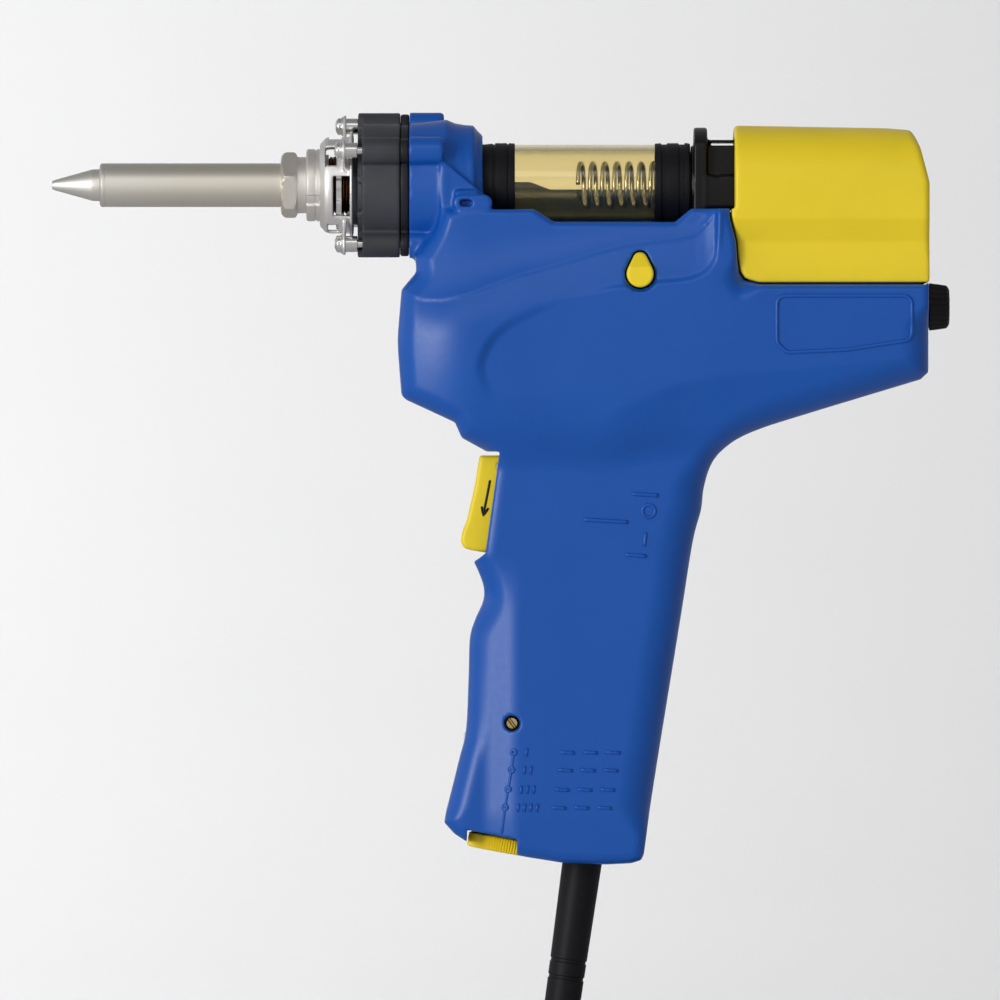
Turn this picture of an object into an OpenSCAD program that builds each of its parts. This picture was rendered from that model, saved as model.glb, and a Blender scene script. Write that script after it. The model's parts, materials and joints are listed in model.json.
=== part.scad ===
// Pistol-shaped electric desoldering gun: a heated hollow nozzle, a clear solder filter in a cradle
// behind it, a small diaphragm pump in the body and a handle with a trigger and a mains lead.
// Millimetres. The nozzle points along -X, up is +Z and the left side of the gun faces -Y.
// The origin is the middle of the handle, where a hand holds it.

/* [Heater] */
// Height of the line through the nozzle and the filter
axis_z = 108.3; // [107:0.1:110]
// Where the nozzle's tip ends
tip_x = -126.9; // [-128:0.1:-125]
// Radius of the suction hole in the nozzle
nozzle_bore_r = 0.5; // [0.3:0.1:0.6]
// Outer radius of the heater pipe
pipe_r = 5.2; // [5.1:0.05:5.4]
// Width across the flats of the pipe nut
nut_flats = 14; // [13:0.5:15]
// Outer radius of the sheet-metal cage
cage_r = 11.5; // [11:0.1:12]
// Distance of the four cage screws from the line
screw_ring_r = 16.2; // [15.8:0.1:16.6]
// Turn of the four cage screws about the line
screw_turn = 29; // [20:1:40]

/* [Casing] */
// Half the width of the body
body_half_w = 25; // [24:0.5:27]
// Half the width of the handle
handle_half_w = 17.5; // [17:0.5:19]
// Wall thickness of the moulded shells
wall = 2.2; // [1.8:0.1:2.4]
// Lean of the handle, its foot towards the nozzle
handle_lean = 8; // [7:0.5:9]

/* [Filter] */
// Radius of the filter's end caps
cap_r = 10; // [9.8:0.1:10.2]
// Turns of the wire coil that catches the solder
coil_turns = 6.5; // [5:0.5:8]

/* [Pump] */
// Radius of the motor can
motor_r = 13; // [12:0.5:13]
// Offset of the eccentric from the shaft
throw = 1.5; // [1:0.1:1.5]

/* [Controls] */
// Radius of the temperature dial
dial_r = 10; // [9:0.5:10]
// Radius of the knurled cover knob
knob_r = 5.6; // [5:0.1:6]

/* [Lead] */
// Outside diameter of the lead
lead_d = 7; // [6:0.5:8]
// Radius of the outer layer of the coiled lead
lead_coil_r = 40.5; // [40:0.5:44]

/* [Hidden] */
$fn = 64;
hull_fn = 24;
shell_fn = 32;
eps = 0.01;
// Running clearance of a shaft in its bearing, on the radius
running = 0.04;
// Face-to-face clearance between pieces that slide past each other
gap = 0.3;

pipe_x0 = -115.5;
pipe_x1 = -72.4;
pipe_tail_r = pipe_r - 0.2;
nut_x1 = -68.5;
nut_turn = 44;
collar_x1 = -66.3;
bush_x1 = -63.1;
cage_x1 = -55.2;
flange_x0 = -57.5;
flange_x1 = -57.0;
block_x0 = -54.1;
block_x1 = -44.0;
nose_x0 = -41.8;
nose_x1 = -25.5;
lobe_r = 3.2;
cage_screw_r = 1.1;

filter_x0 = -25;
filter_x1 = 25;
front_skirt_x = -16.7;
rear_skirt_x = 17.5;
cap_floor = 3.3;
tube_r = 9.6;
tube_in_r = 8.2;
slide_x0 = 25.6;
slide_x1 = 38;
guide_x = 52;
spigot_r = 2.5;

motor_z = 70;
motor_x0 = -33;
motor_x1 = 0;
shaft_r = 1.5;
pump_x = 14;
pump_half = 11;
pump_z = 80;
knob_x = 81.6;
knob_z = 79.3;
cover_x0 = 35.4;
cover_z0 = 84.6;

trigger_half_w = 11.5;
trigger_pin_x = -19.8;
trigger_pin_z = 41.2;
plunger_z = 31;
button_x = 12.9;
button_z = 86.9;
rocker_x = 21.5;
rocker_z = 32;
trimmer_x = -17.4;
trimmer_z = -19.6;
dial_x = -18;
dial_z = -48.9;
dial_half_t = 1.8;
foot_x = -0.7;
foot_z = -53.1;
relief_l = 40;

// Coiled lead: its middle, and the layers and columns that its turns fill
lead_coil_x = 34.5;
lead_coil_z = -136;
coil_cols = 4;
lead_in_route = [[-6.3, 0, -92.7], [-6.9, 0, -98], [-7, 0, -104], [-6.6, 0, -112], [-6, 0, -122],
    [-6, 0, -128]];
tail_route = [[1, -3.5, -136], [2.1, -5, -144.7], [5.5, -8, -152.8], [10.8, -11, -159.7],
    [17.8, -12.8, -165], [25.8, -13, -168.4]];
plug_at = [25.8, -13, -168.4];
plug_turn = -75;

// Corners [x, z, radius] of the rounded solids that make up the casing, seen from the side
body_corners = [[-38.2, 64, 6], [-38, 76, 6], [-33, 92, 7], [31, 90, 7], [76.2, 84, 5], [76.2, 68, 5],
    [40, 58, 8], [-28, 60, 8]];
body_middle = [20, 74];
handle_corners = [[-22, 46, 5], [-22.8, 12, 5], [-23.4, -22, 5], [-28, -40.5, 5], [-9, -47.6, 5],
    [4, -48.1, 5], [9.5, -47, 4.5], [21.6, 34, 6], [21, 52, 6]];
handle_middle = [-2, 0];
web_corners = [[24.6, 36, 2.5], [37, 52.5, 2.5], [10, 55, 4], [10, 36, 2.5]];
cradle_corners = [[-21.5, 99.5, 3], [31.5, 99.5, 3], [31.5, 88, 5], [-24, 88, 5]];
// Each level of a rounded solid is [half width, scale in the side view]
body_levels = [[14, 1], [20, 0.985], [23.5, 0.955], [body_half_w, 0.9]];
handle_levels = [[8, 1], [13, 0.985], [16.3, 0.95], [handle_half_w, 0.89]];
screw_posts = [[-34.5, 89, 21], [68, 71, 23.5], [31, 62, 23.5], [14, 11, 16.2], [8.5, -43, 14]];
post_r = 3.2;
post_hole_r = 1.3;

module along_x(x0, x1, r, y = 0, z = axis_z, r2 = undef) {
    translate([x0, y, z]) rotate([0, 90, 0])
        cylinder(r1 = r, r2 = is_undef(r2) ? r : r2, h = x1 - x0);
}

module along_y(y0, y1, r, x, z) {
    translate([x, y0, z]) rotate([-90, 0, 0]) cylinder(r = r, h = y1 - y0);
}

module along_z(z0, z1, r, x, y = 0) {
    translate([x, y, z0]) cylinder(r = r, h = z1 - z0);
}

module ring_x(x0, x1, r, bore, y = 0, z = axis_z) {
    difference() {
        along_x(x0, x1, r, y, z);
        along_x(x0 - 1, x1 + 1, bore, y, z);
    }
}

// A flat plate in the side view, from y0 to y1
module side_plate(points, y0, y1) {
    translate([0, y1, 0]) rotate([90, 0, 0]) linear_extrude(y1 - y0) polygon(points);
}

module box(x0, x1, y0, y1, z0, z1) {
    translate([x0, y0, z0]) cube([x1 - x0, y1 - y0, z1 - z0]);
}

// A rounded solid: its side view is the hull of its corners, and it narrows towards both sides
module pillow(corners, middle, levels, inset = 0) {
    hull() for (level = levels, c = corners)
        along_y(-level[0] + inset, level[0] - inset, c[2] - inset,
            middle[0] + (c[0] - middle[0]) * level[1],
            middle[1] + (c[1] - middle[1]) * level[1], $fn = hull_fn);
}

module at_cage_screws() {
    for (turn = [0:90:270])
        rotate([-screw_turn - turn, 0, 0]) translate([0, -screw_ring_r, 0]) children();
}

module lobed_section(x0, x1, grow = 0) {
    along_x(x0, x1, 14.6 + grow);
    translate([0, 0, axis_z]) at_cage_screws() along_x(x0, x1, lobe_r + grow, 0, 0);
}

// A wire or hose: a regular polygon swept along a list of points
module sweep(route, r, sides) {
    n = len(route);
    function ahead(i) = route[min(i + 1, n - 1)] - route[max(i - 1, 0)];
    function unit(v) = v / norm(v);
    function side_of(t) = unit(cross(t, abs(t[1]) < 0.9 * norm(t) ? [0, 1, 0] : [1, 0, 0]));
    points = [for (i = [0:n - 1]) let (t = unit(ahead(i)), u = side_of(t), v = cross(t, u))
        for (k = [0:sides - 1]) route[i] + r * (cos(360 * k / sides) * u + sin(360 * k / sides) * v)];
    walls = [for (i = [0:n - 2], k = [0:sides - 1]) let (j = (k + 1) % sides)
        [i * sides + k, i * sides + j, (i + 1) * sides + j, (i + 1) * sides + k]];
    ends = [[for (k = [sides - 1:-1:0]) k], [for (k = [0:sides - 1]) (n - 1) * sides + k]];
    polyhedron(points, concat(walls, ends));
}

// Points of a helix about the X axis through (y, z)
function helix_x(x0, x1, r, turns, y = 0, z = axis_z, steps = 12) =
    [for (i = [0:turns * steps]) let (f = i / (turns * steps), a = 360 * turns * f)
        [x0 + (x1 - x0) * f, y + r * cos(a), z + r * sin(a)]];

// Points of a smooth curve through a route, a few for each of its legs
function smooth_route(route, steps = 4) = let (n = len(route))
    [for (i = [0:n - 2], s = [0:steps - 1]) let (t = s / steps, a = route[max(i - 1, 0)],
        b = route[i], c = route[i + 1], d = route[min(i + 2, n - 1)])
        0.5 * (2 * b + (c - a) * t + (2 * a - 5 * b + 4 * c - d) * t * t
            + (3 * b - a - 3 * c + d) * t * t * t),
        route[n - 1]];

// ---- Heated front end ----

module nozzle() {
    color("silver") difference() {
        union() {
            along_x(tip_x, -117.2, 1, r2 = 3.7);
            along_x(-117.2, pipe_x0, 3.7);
            along_x(pipe_x0, -100, 3);
        }
        along_x(tip_x - 1, -99, nozzle_bore_r);
    }
}

module heater_pipe() {
    color("silver") difference() {
        union() {
            along_x(pipe_x0, pipe_x0 + 0.4, pipe_r - 0.4, r2 = pipe_r);
            along_x(pipe_x0 + 0.4, pipe_x1, pipe_r);
            along_x(pipe_x1, -45, pipe_tail_r);
        }
        along_x(pipe_x0 - 1, -44, 3.1);
    }
}

module pipe_nut() {
    color("silver") difference() {
        union() {
            translate([0, 0, axis_z]) rotate([-nut_turn, 0, 0])
                along_x(pipe_x1, nut_x1, nut_flats / sqrt(3), 0, 0, $fn = 6);
            along_x(nut_x1, collar_x1, 6.7);
        }
        along_x(pipe_x1 - 1, collar_x1 + 1, pipe_tail_r + running);
    }
}

module heater_bush() {
    color("silver") difference() {
        union() {
            along_x(collar_x1, bush_x1, 8.6);
            along_x(bush_x1, -61, 7.2);
        }
        along_x(collar_x1 - 1, -60, pipe_tail_r + running);
    }
}

module heater_cage() {
    color("silver") difference() {
        union() {
            along_x(bush_x1, -61.5, 9.4, r2 = cage_r);
            along_x(-61.5, cage_x1, cage_r);
            along_x(flange_x0, flange_x1, 13.4);
            translate([0, 0, axis_z]) at_cage_screws() {
                along_x(flange_x0, flange_x1, 2.6, 0, 0);
                box(flange_x0, flange_x1, 0, 5, -2.2, 2.2);
            }
        }
        along_x(-62.5, cage_x1 + 1, cage_r - 0.7);
        along_x(bush_x1 - 1, -61, 7.2 + running);
        translate([0, 0, axis_z]) at_cage_screws() along_x(-60, -54, cage_screw_r, 0, 0);
        // Upper and lower windows in the drum, the same on both sides
        for (side = [-1, 1]) {
            translate([0, side > 0 ? 0 : -14, 0]) {
                box(-61.7, -58.8, 0, 14, 112.9, 117.4);
                box(-59.8, -55.8, 0, 14, 100.4, 110.2);
            }
        }
    }
}

module heat_baffle() {
    color("gainsboro") ring_x(-59.2, -58.4, cage_r - 0.75, 7);
}

module heating_element() {
    color("sienna") {
        ring_x(-61, -46, 6.9, pipe_tail_r + running);
        for (x = [-60:1.6:-47]) ring_x(x, x + 0.8, 6.98, 6.5);
    }
}

module suction_pipe() {
    color("silver") ring_x(-99.9, -25.5, 2, 1.4);
}

module cage_screws() {
    color("silver") translate([0, 0, axis_z]) at_cage_screws() {
        along_x(-59.5, flange_x0, 2, 0, 0);
        along_x(flange_x0, -37, cage_screw_r - 0.1, 0, 0);
    }
}

module cage_spacers() {
    color("silver") translate([0, 0, axis_z]) at_cage_screws()
        ring_x(flange_x1, block_x0, 1.9, cage_screw_r, 0, 0);
}

module insulator_block() {
    color("#1c1c1e") difference() {
        lobed_section(block_x0, block_x1);
        along_x(block_x0 - 1, block_x1 + 1, 7.4);
        translate([0, 0, axis_z]) at_cage_screws() along_x(-60, -40, cage_screw_r, 0, 0);
    }
}

module insulator_plate() {
    color("#2a2a2c") difference() {
        lobed_section(block_x1, nose_x0, 0.3);
        along_x(block_x1 - 1, nose_x0 + 1, 2.4);
        translate([0, 0, axis_z]) at_cage_screws() along_x(-60, -40, cage_screw_r, 0, 0);
    }
}

// ---- Casing ----

module nose_solid() {
    lobed_section(nose_x0, -35);
    hull() {
        along_x(-35.2, -34.8, 15.6);
        along_x(-31, nose_x1, 12.4);
    }
    hull() {
        box(nose_x0, -26, -15.5, 15.5, 97, 99);
        box(-39.5, -24, -15.5, 15.5, 88, 90);
    }
}

module casing_solid() {
    difference() {
        union() {
            pillow(body_corners, body_middle, body_levels);
            pillow(handle_corners, handle_middle, handle_levels);
            pillow(web_corners, [24, 45], [[12, 1], [16, 0.9]]);
            pillow(cradle_corners, [5, 95], [[12, 1], [16, 0.98], [18, 0.94]]);
            nose_solid();
            // Ears with a slotted hole beside the filter's front cap
            for (side = [-1, 1]) hull() for (x = [-28.9, -24.2])
                along_y(side * 13.4 - 2, side * 13.4 + 2, 2.3, x, 104.4, $fn = hull_fn);
        }
        // Trough that the filter lies in, open at the top
        along_x(nose_x1, 36, cap_r + 0.8);
        box(nose_x1, 36, -cap_r - 0.8, cap_r + 0.8, axis_z, 140);
        box(-7.4, 19.2, -30, 30, 99.2, 110);
        box(24, 36, -30, 30, 100.9, 130);
        // Seat of the rear cover
        box(cover_x0 - gap, 90, -30, 30, cover_z0 - gap, 130);
    }
}

module casing_hollow() {
    pillow(body_corners, body_middle, body_levels, wall);
    pillow(handle_corners, handle_middle, handle_levels, wall);
    hull() {
        along_x(-39.5, -36.5, 11);
        along_x(-36.4, -29, 8.5);
    }
    along_x(nose_x0 - 1, -39, 11);
}

module casing_cuts() {
    // Suction pipe and its seal in the back of the nose
    along_x(-30, -20, 6.1);
    translate([0, 0, axis_z]) at_cage_screws() along_x(nose_x0 - 1, -36, 1.2, 0, 0);
    // Trigger slot, open over the whole front of the handle
    box(-36, -13.2, -trigger_half_w - 0.5, trigger_half_w + 0.5, 19.8, 44.7);
    side_plate([[-36, 44.7], [-20.4, 44.7], [-23.8, 20.4], [-25.5, 19.8], [-36, 19.8]], -20, 20);
    along_y(-15.2, 15.2, 1.4, trigger_pin_x, trigger_pin_z);
    // Power rocker in the back of the handle
    box(17, 34, -7.4, 7.4, rocker_z - 6.4, rocker_z + 6.4);
    // Temperature dial in the foot, and the notch that shows it
    dial_place() along_z(-dial_half_t - 0.8, dial_half_t + 0.8, dial_r + 0.6, 0);
    side_plate([[-28.2, -44.9], [-16.2, -47.1], [-16.2, -56], [-28.2, -56]], -20, 20);
    // Lamp, trimmer hole, lead and knob shaft
    along_x(-34, -24, 1.75, 0, -23.5);
    along_y(-20, -13, 1.9, trimmer_x, trimmer_z);
    translate([foot_x, 0, foot_z]) rotate([0, handle_lean, 0]) {
        along_z(-6, 7, 5.2, 0);
        along_z(2.2, 6.3, 6.7, 0);
    }
    along_x(72, 90, 1.9, 0, knob_z);
    // Slot in the deck for the cover's tab, and the hose's hole
    box(75.4, 78.8, -5.6, 5.6, 70.5, 90);
    along_z(76, 90, 4.4, 58);
    hull() {
        along_y(-30, -16, 3.6, button_x, button_z - 0.1, $fn = hull_fn);
        along_y(-30, -16, 2.1, button_x, button_z + 3.4, $fn = hull_fn);
    }
}

module screw_posts_solid() {
    for (p = screw_posts) along_y(-p[2], p[2], post_r, p[0], p[1]);
    // Seats for the trigger pin's ends
    for (side = [-1, 1]) along_y(side * 14 - 2, side * 14 + 2, 2.6, trigger_pin_x, trigger_pin_z);
}

module shells() {
    difference() {
        union() {
            difference() {
                casing_solid();
                casing_hollow();
            }
            screw_posts_solid();
            // Floor of the trough and the deck under the cover
            difference() {
                box(nose_x1, 34, -14, 14, 95.4, 99);
                along_x(nose_x1 - 1, 36, cap_r + 0.8);
            }
            box(35, 79, -20, 20, cover_z0 - gap - wall, cover_z0 - gap);
        }
        casing_cuts();
        for (p = screw_posts) along_y(-p[2] + 3, 30, post_hole_r, p[0], p[1]);
        for (p = screw_posts) along_y(p[2] - 4, 30, 2.9, p[0], p[1]);
    }
}

module housing_left() {
    color("royalblue") intersection() {
        shells($fn = shell_fn);
        box(-60, 90, -30, -eps, -60, 130);
    }
}

module housing_right() {
    color("royalblue") intersection() {
        shells($fn = shell_fn);
        box(-60, 90, eps, 30, -60, 130);
    }
}

module housing_screws() {
    color("dimgray") for (p = screw_posts) {
        along_y(p[2] - 4, p[2] - 2, 2.6, p[0], p[1]);
        along_y(-p[2] + 5, p[2] - 4, post_hole_r - 0.1, p[0], p[1]);
    }
}

module nose_seal() {
    color("#3a3a3a") ring_x(-29, -25.4, 6, 2.1);
}

// ---- Solder filter ----

module filter_front_cap() {
    color("#1c1c1e") difference() {
        along_x(filter_x0, front_skirt_x, cap_r);
        along_x(filter_x0 + cap_floor, front_skirt_x + 1, tube_r + 0.05);
        along_x(filter_x0 - 1, 0, 2.2);
        ring_x(-22, -21.4, cap_r + 1, cap_r - 0.4);
    }
}

module filter_tube() {
    color("goldenrod", 0.4) ring_x(filter_x0 + cap_floor, filter_x1 - cap_floor, tube_r, tube_in_r);
}

module filter_rear_cap() {
    color("#1c1c1e") difference() {
        along_x(rear_skirt_x, filter_x1, cap_r);
        along_x(rear_skirt_x - 1, filter_x1 - cap_floor, tube_r + 0.05);
        along_x(20, filter_x1 + 1, 2.2);
        ring_x(22.4, 23.6, cap_r + 1, cap_r - 0.5);
    }
}

module solder_trap_coil() {
    color("silver") sweep(helix_x(-1.7, 17, 5.2, coil_turns), 0.55, 6);
}

module filter_pad() {
    color("ivory") along_x(17.8, filter_x1 - cap_floor - 0.1, tube_in_r - 0.05);
}

// ---- Filter release ----

module release_slide() {
    color("#1c1c1e") difference() {
        union() {
            intersection() {
                along_x(slide_x0, slide_x0 + 3.2, 13.6);
                box(20, 40, -9.6, 9.6, 101.2, 122);
            }
            box(slide_x0 + 3, slide_x1, -7, 7, 110.2, 117.5);
            box(slide_x0 + 3, slide_x1 - 2, -7, 7, 118.3, 118.9);
            box(slide_x0 + 3, 35, -9.6, 9.6, 102.1, 110.3);
            box(35 - eps, slide_x1, -7, 7, 104, 110.3);
        }
        along_x(slide_x0 - 1, slide_x1 + 1, spigot_r + 0.1);
    }
}

module slide_spring() {
    color("silver") sweep(helix_x(slide_x1 + 0.7, guide_x - 0.6, 4.6, 5), 0.5, 6);
}

module slide_guide() {
    color("dimgray") difference() {
        union() {
            box(guide_x, guide_x + 3, -10, 10, cover_z0 - gap, 114);
            along_x(32, guide_x + 6, spigot_r);
        }
        along_x(31, guide_x + 7, 1.5);
    }
}

module vacuum_hose() {
    color("#303030") {
        sweep(smooth_route([[58.1, 0, 108.3], [61, 0, 108.2], [64.5, 0, 105.5], [65.4, 0, 100],
            [61.5, 0, 93], [58.4, 0, 88], [57.4, 0, 82], [53, 0, 77.6], [46, 0, 76.4], [39, 0, 76.4],
            [33.6, 0, 77.8], [31.2, 0, 81.5], [30.8, 0, 85.4], [29.4, 0, 87.6], [27.6, 0, 88]]), 3, 10);
    }
}

// ---- Rear cover ----

module cover_hull(inset, x0) {
    hull() for (side = [-1, 1]) {
        along_x(x0, 77.6 - inset, 12.4 - inset, side * 7, 109.3, $fn = hull_fn);
        along_x(x0, 79.6 - inset, 10 - inset, side * 12, 108, $fn = hull_fn);
        along_x(x0, 81.4 - inset, 7.5 - inset, side * 14.6, 106, $fn = hull_fn);
    }
    hull() for (side = [-1, 1]) {
        along_x(x0, 81.4 - inset, 7.5 - inset, side * 14.6, 106, $fn = hull_fn);
        along_x(x0, 81.4 - inset, 3 - inset, side * 18, 97, $fn = hull_fn);
    }
}

module rear_cover() {
    color("gold") difference() {
        union() {
            difference() {
                union() {
                    cover_hull(0, cover_x0);
                    box(cover_x0, 81.4, -21, 21, cover_z0, 97);
                }
                cover_hull(1.9, cover_x0 + 1.8);
                box(cover_x0 + 1.8, 79.5, -19.1, 19.1, cover_z0 - 1, 97.5);
            }
            // Tab that the knob's cam locks in the casing
            box(76, 78.2, -5, 5, 72, 88);
            box(76, 80, -5, 5, 86, 90);
        }
        // Front wall, open below so that the cover lifts off over the slide
        box(cover_x0 - 1, cover_x0 + 3, -10.5, 10.5, cover_z0 - 1, 119.4);
        hull() {
            along_x(75, 79, 1.8, 0, knob_z, $fn = hull_fn);
            along_x(75, 79, 1.8, 0, knob_z - 12, $fn = hull_fn);
        }
    }
}

module cover_knob() {
    color("#1c1c1e") difference() {
        union() {
            along_x(knob_x, 86, knob_r, 0, knob_z, r2 = knob_r - 0.7);
            along_x(86, 86.7, knob_r - 0.7, 0, knob_z, r2 = knob_r - 1.4);
        }
        along_x(knob_x - 1, 85, shaft_r, 0, knob_z);
    }
}

module latch_cam() {
    color("silver") {
        along_x(73, 84.9, shaft_r - 0.02, 0, knob_z);
        along_x(73, 74.4, 2.5, 0, knob_z);
        intersection() {
            along_x(73, 74.4, 5, 0, knob_z);
            box(72, 75, -2.4, 2.4, knob_z - 5, knob_z);
        }
    }
}

// ---- Pump ----

module motor_can() {
    color("gray") difference() {
        along_x(motor_x0, motor_x1, motor_r, 0, motor_z);
        along_x(motor_x0 + 1.5, motor_x1 + 1, motor_r - 1.2, 0, motor_z);
        along_x(motor_x0 - 1, motor_x1, 3.55, 0, motor_z);
    }
}

module motor_bearings() {
    color("silver") for (x = [motor_x0, motor_x1]) ring_x(x, x + 2.4, 3.5, shaft_r + running, 0, motor_z);
}

module motor_end_bell() {
    color("gray") ring_x(motor_x1, motor_x1 + 2.5, motor_r, 3.55, 0, motor_z);
}

module motor_rotor() {
    color("sienna") ring_x(-30, -6, 10, shaft_r, 0, motor_z);
}

module motor_shaft() {
    color("silver") along_x(motor_x0 - 1, pump_x + 4, shaft_r, 0, motor_z);
}

module eccentric() {
    color("silver") difference() {
        along_x(pump_x - 3, pump_x + 3, 5, 0, motor_z + throw);
        along_x(0, 30, shaft_r, 0, motor_z);
    }
}

module connecting_rod() {
    color("white") difference() {
        union() {
            along_x(pump_x - 2.5, pump_x + 2.5, 7.5, 0, motor_z + throw);
            box(pump_x - 2, pump_x + 2, -2, 2, motor_z + throw + 6, pump_z + 2);
            along_z(pump_z + 1, pump_z + 2.6, 3, pump_x);
        }
        along_x(0, 30, 5 + running, 0, motor_z + throw);
    }
}

module pump_frame() {
    color("#303030") difference() {
        union() {
            box(3, 5, -pump_half, pump_half, 56, pump_z + 3);
            box(3, pump_x + pump_half, -pump_half, pump_half, pump_z, pump_z + 3);
        }
        along_x(0, 10, 4, 0, motor_z);
        along_z(pump_z - 1, pump_z + 4, 5.2, pump_x);
        at_pump_screws() along_z(pump_z - 1, 94, 1.1, 0);
    }
}

module at_pump_screws() {
    for (x = [-1, 1], y = [-1, 1])
        translate([pump_x + x * (pump_half - 2.2), y * (pump_half - 2.2), 0]) children();
}

module diaphragm() {
    color("#222222") difference() {
        box(pump_x - pump_half + 0.3, pump_x + pump_half - 0.3, -pump_half + 0.3, pump_half - 0.3,
            pump_z + 3, pump_z + 4.2);
        at_pump_screws() along_z(pump_z - 1, 94, 1.1, 0);
    }
}

module pump_head() {
    color("#303030") difference() {
        union() {
            box(pump_x - pump_half, pump_x + pump_half, -pump_half, pump_half, pump_z + 4.2, 91);
            along_x(pump_x + pump_half, 27.5, 2, 0, 88);
            along_x(-2, pump_x - pump_half, 2, 0, 88);
        }
        along_x(20, 30, 1.2, 0, 88);
        along_x(-3, 8, 1.2, 0, 88);
        along_z(pump_z + 3, 87, 7, pump_x);
        at_pump_screws() along_z(pump_z - 1, 94, 1.1, 0);
    }
}

module pump_screws() {
    color("silver") at_pump_screws() {
        along_z(91, 92.4, 2, 0);
        along_z(pump_z + 0.5, 91, 1, 0);
    }
}

// ---- Controls ----

module trigger() {
    color("gold") difference() {
        union() {
            side_plate([[-25.2, 43.9], [-26.5, 35.9], [-27.9, 29], [-29.2, 25.4], [-29.5, 23.8],
                [-29, 22.2], [-27.2, 21.5], [-23.8, 20.8], [-18.5, 22.5], [-17.6, 30], [-17.2, 43.9]],
                -trigger_half_w, trigger_half_w);
            box(-18.6, -15.5, -2, 2, plunger_z - 1.5, plunger_z + 1.5);
        }
        along_y(-15, 15, 1.25 + running, trigger_pin_x, trigger_pin_z);
    }
}

module trigger_pin() {
    color("silver") along_y(-15, 15, 1.25, trigger_pin_x, trigger_pin_z);
}

module trigger_spring() {
    color("silver") sweep(helix_x(-16.7, -13.1, 1.6, 4, 0, 36.5), 0.25, 6);
}

module vacuum_switch() {
    color("#1c1c1e") difference() {
        box(-12.6, -4, -3.2, 3.2, 26, 40);
        along_x(-13, -9, 1.08, 0, plunger_z);
    }
}

module switch_plunger() {
    color("firebrick") along_x(-15.2, -10.6, 1, 0, plunger_z);
}

module release_button() {
    color("gold") hull() {
        along_y(-24.9, -18, 3.25, button_x, button_z - 0.1, $fn = hull_fn);
        along_y(-23.6, -18, 1.75, button_x, button_z + 3.4, $fn = hull_fn);
    }
}

module button_spring() {
    color("silver") translate([button_x, 0, button_z]) rotate([0, 0, 90])
        sweep(helix_x(-17.7, -11.4, 2, 5, 0, 0), 0.3, 6);
}

module power_switch() {
    color("#1c1c1e") difference() {
        box(6, 17.5, -6.5, 6.5, rocker_z - 6, rocker_z + 6);
        along_x(12, 18, 3, 0, rocker_z);
    }
}

module power_rocker() {
    color("#1c1c1e") {
        union() {
            side_plate([[19.6, rocker_z - 5.4], [24.8, rocker_z - 5.6], [25.3, rocker_z],
                [26.6, rocker_z + 4.6], [21, rocker_z + 5.4]], -6.9, 6.9);
            along_y(-7.3, 7.3, 1.2, rocker_x, rocker_z);
        }
    }
}

module dial_place() {
    translate([dial_x, 0, dial_z]) rotate([0, handle_lean + 2, 0]) children();
}

module temperature_dial() {
    color("gold") dial_place() difference() {
        along_z(-dial_half_t, dial_half_t, dial_r, 0);
        along_z(-1, 3, 1.5 + running, 0);
    }
}

module dial_pot() {
    color("dimgray") dial_place() {
        along_z(2.4, 8, 5, 0);
        along_z(-0.9, 2.5, 1.5, 0);
    }
}

module lamp_lens() {
    color("white") {
        along_x(-28.9, -25.4, 1.6, 0, -23.5);
        along_x(-25.4, -24.6, 2.6, 0, -23.5);
    }
}

module trimmer_rotor() {
    color("orange") difference() {
        along_y(-13.2, -10.2, 1.5, trimmer_x, trimmer_z);
        box(trimmer_x - 2, trimmer_x + 2, -14, -12.4, trimmer_z - 0.3, trimmer_z + 0.3);
    }
}

module control_board() {
    color("darkgreen") {
        box(-21, 6, -6, -4.4, -32, 6);
        box(-8, 0, -12, -6, -18, 0);
    }
    color("darkgreen") difference() {
        box(trimmer_x - 3.2, trimmer_x + 3.2, -11.5, -6, trimmer_z - 3.2, trimmer_z + 3.2);
        along_y(-12, -10, 1.6, trimmer_x, trimmer_z);
    }
}

// ---- Lead ----

module strain_relief() {
    color("#222224") translate([foot_x, 0, foot_z]) rotate([0, handle_lean, 0]) {
        translate([0, 0, -relief_l]) cylinder(r1 = 4.2, r2 = 4.7, h = relief_l);
        along_z(-eps, 6, 4.7, 0);
        along_z(2.4, 6, 6.4, 0);
    }
}

module power_cord() {
    color("#222224") sweep(smooth_route(lead_in_route), lead_d / 2, 12);
}

module cord_coil() {
    color("#222224") translate([lead_coil_x, 0, lead_coil_z]) rotate([-90, 0, 0]) difference() {
        along_z(-lead_d / 2, (coil_cols - 0.5) * lead_d, lead_coil_r + lead_d / 2, 0);
        along_z(-lead_d, coil_cols * lead_d, lead_coil_r - 1.5 * lead_d, 0);
    }
}

module cord_tail() {
    color("#222224") sweep(smooth_route(tail_route), lead_d / 2, 12);
}

module cord_tie() {
    color("black") translate([lead_coil_x, 0, lead_coil_z]) rotate([0, 225, 0])
        translate([lead_coil_r - lead_d / 2, 0, 0]) difference() {
        box(-8.3, 8.3, -4.8, 25.8, -3, 3);
        box(-7.1, 7.1, -3.6, 24.6, -4, 4);
    }
}

module power_plug() {
    color("#1c1c1e") translate(plug_at) rotate([0, plug_turn, 0]) {
        translate([0, 0, -14]) cylinder(r1 = 5.6, r2 = 4.2, h = 14);
        hull() for (z = [-14, -40]) translate([0, 0, z]) {
            for (x = [-1, 1]) translate([x * 9, -4, 0]) cylinder(r = 4, h = eps, $fn = hull_fn);
            translate([0, 4, 0]) cylinder(r = 4.6, h = eps, $fn = hull_fn);
        }
    }
}

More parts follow.
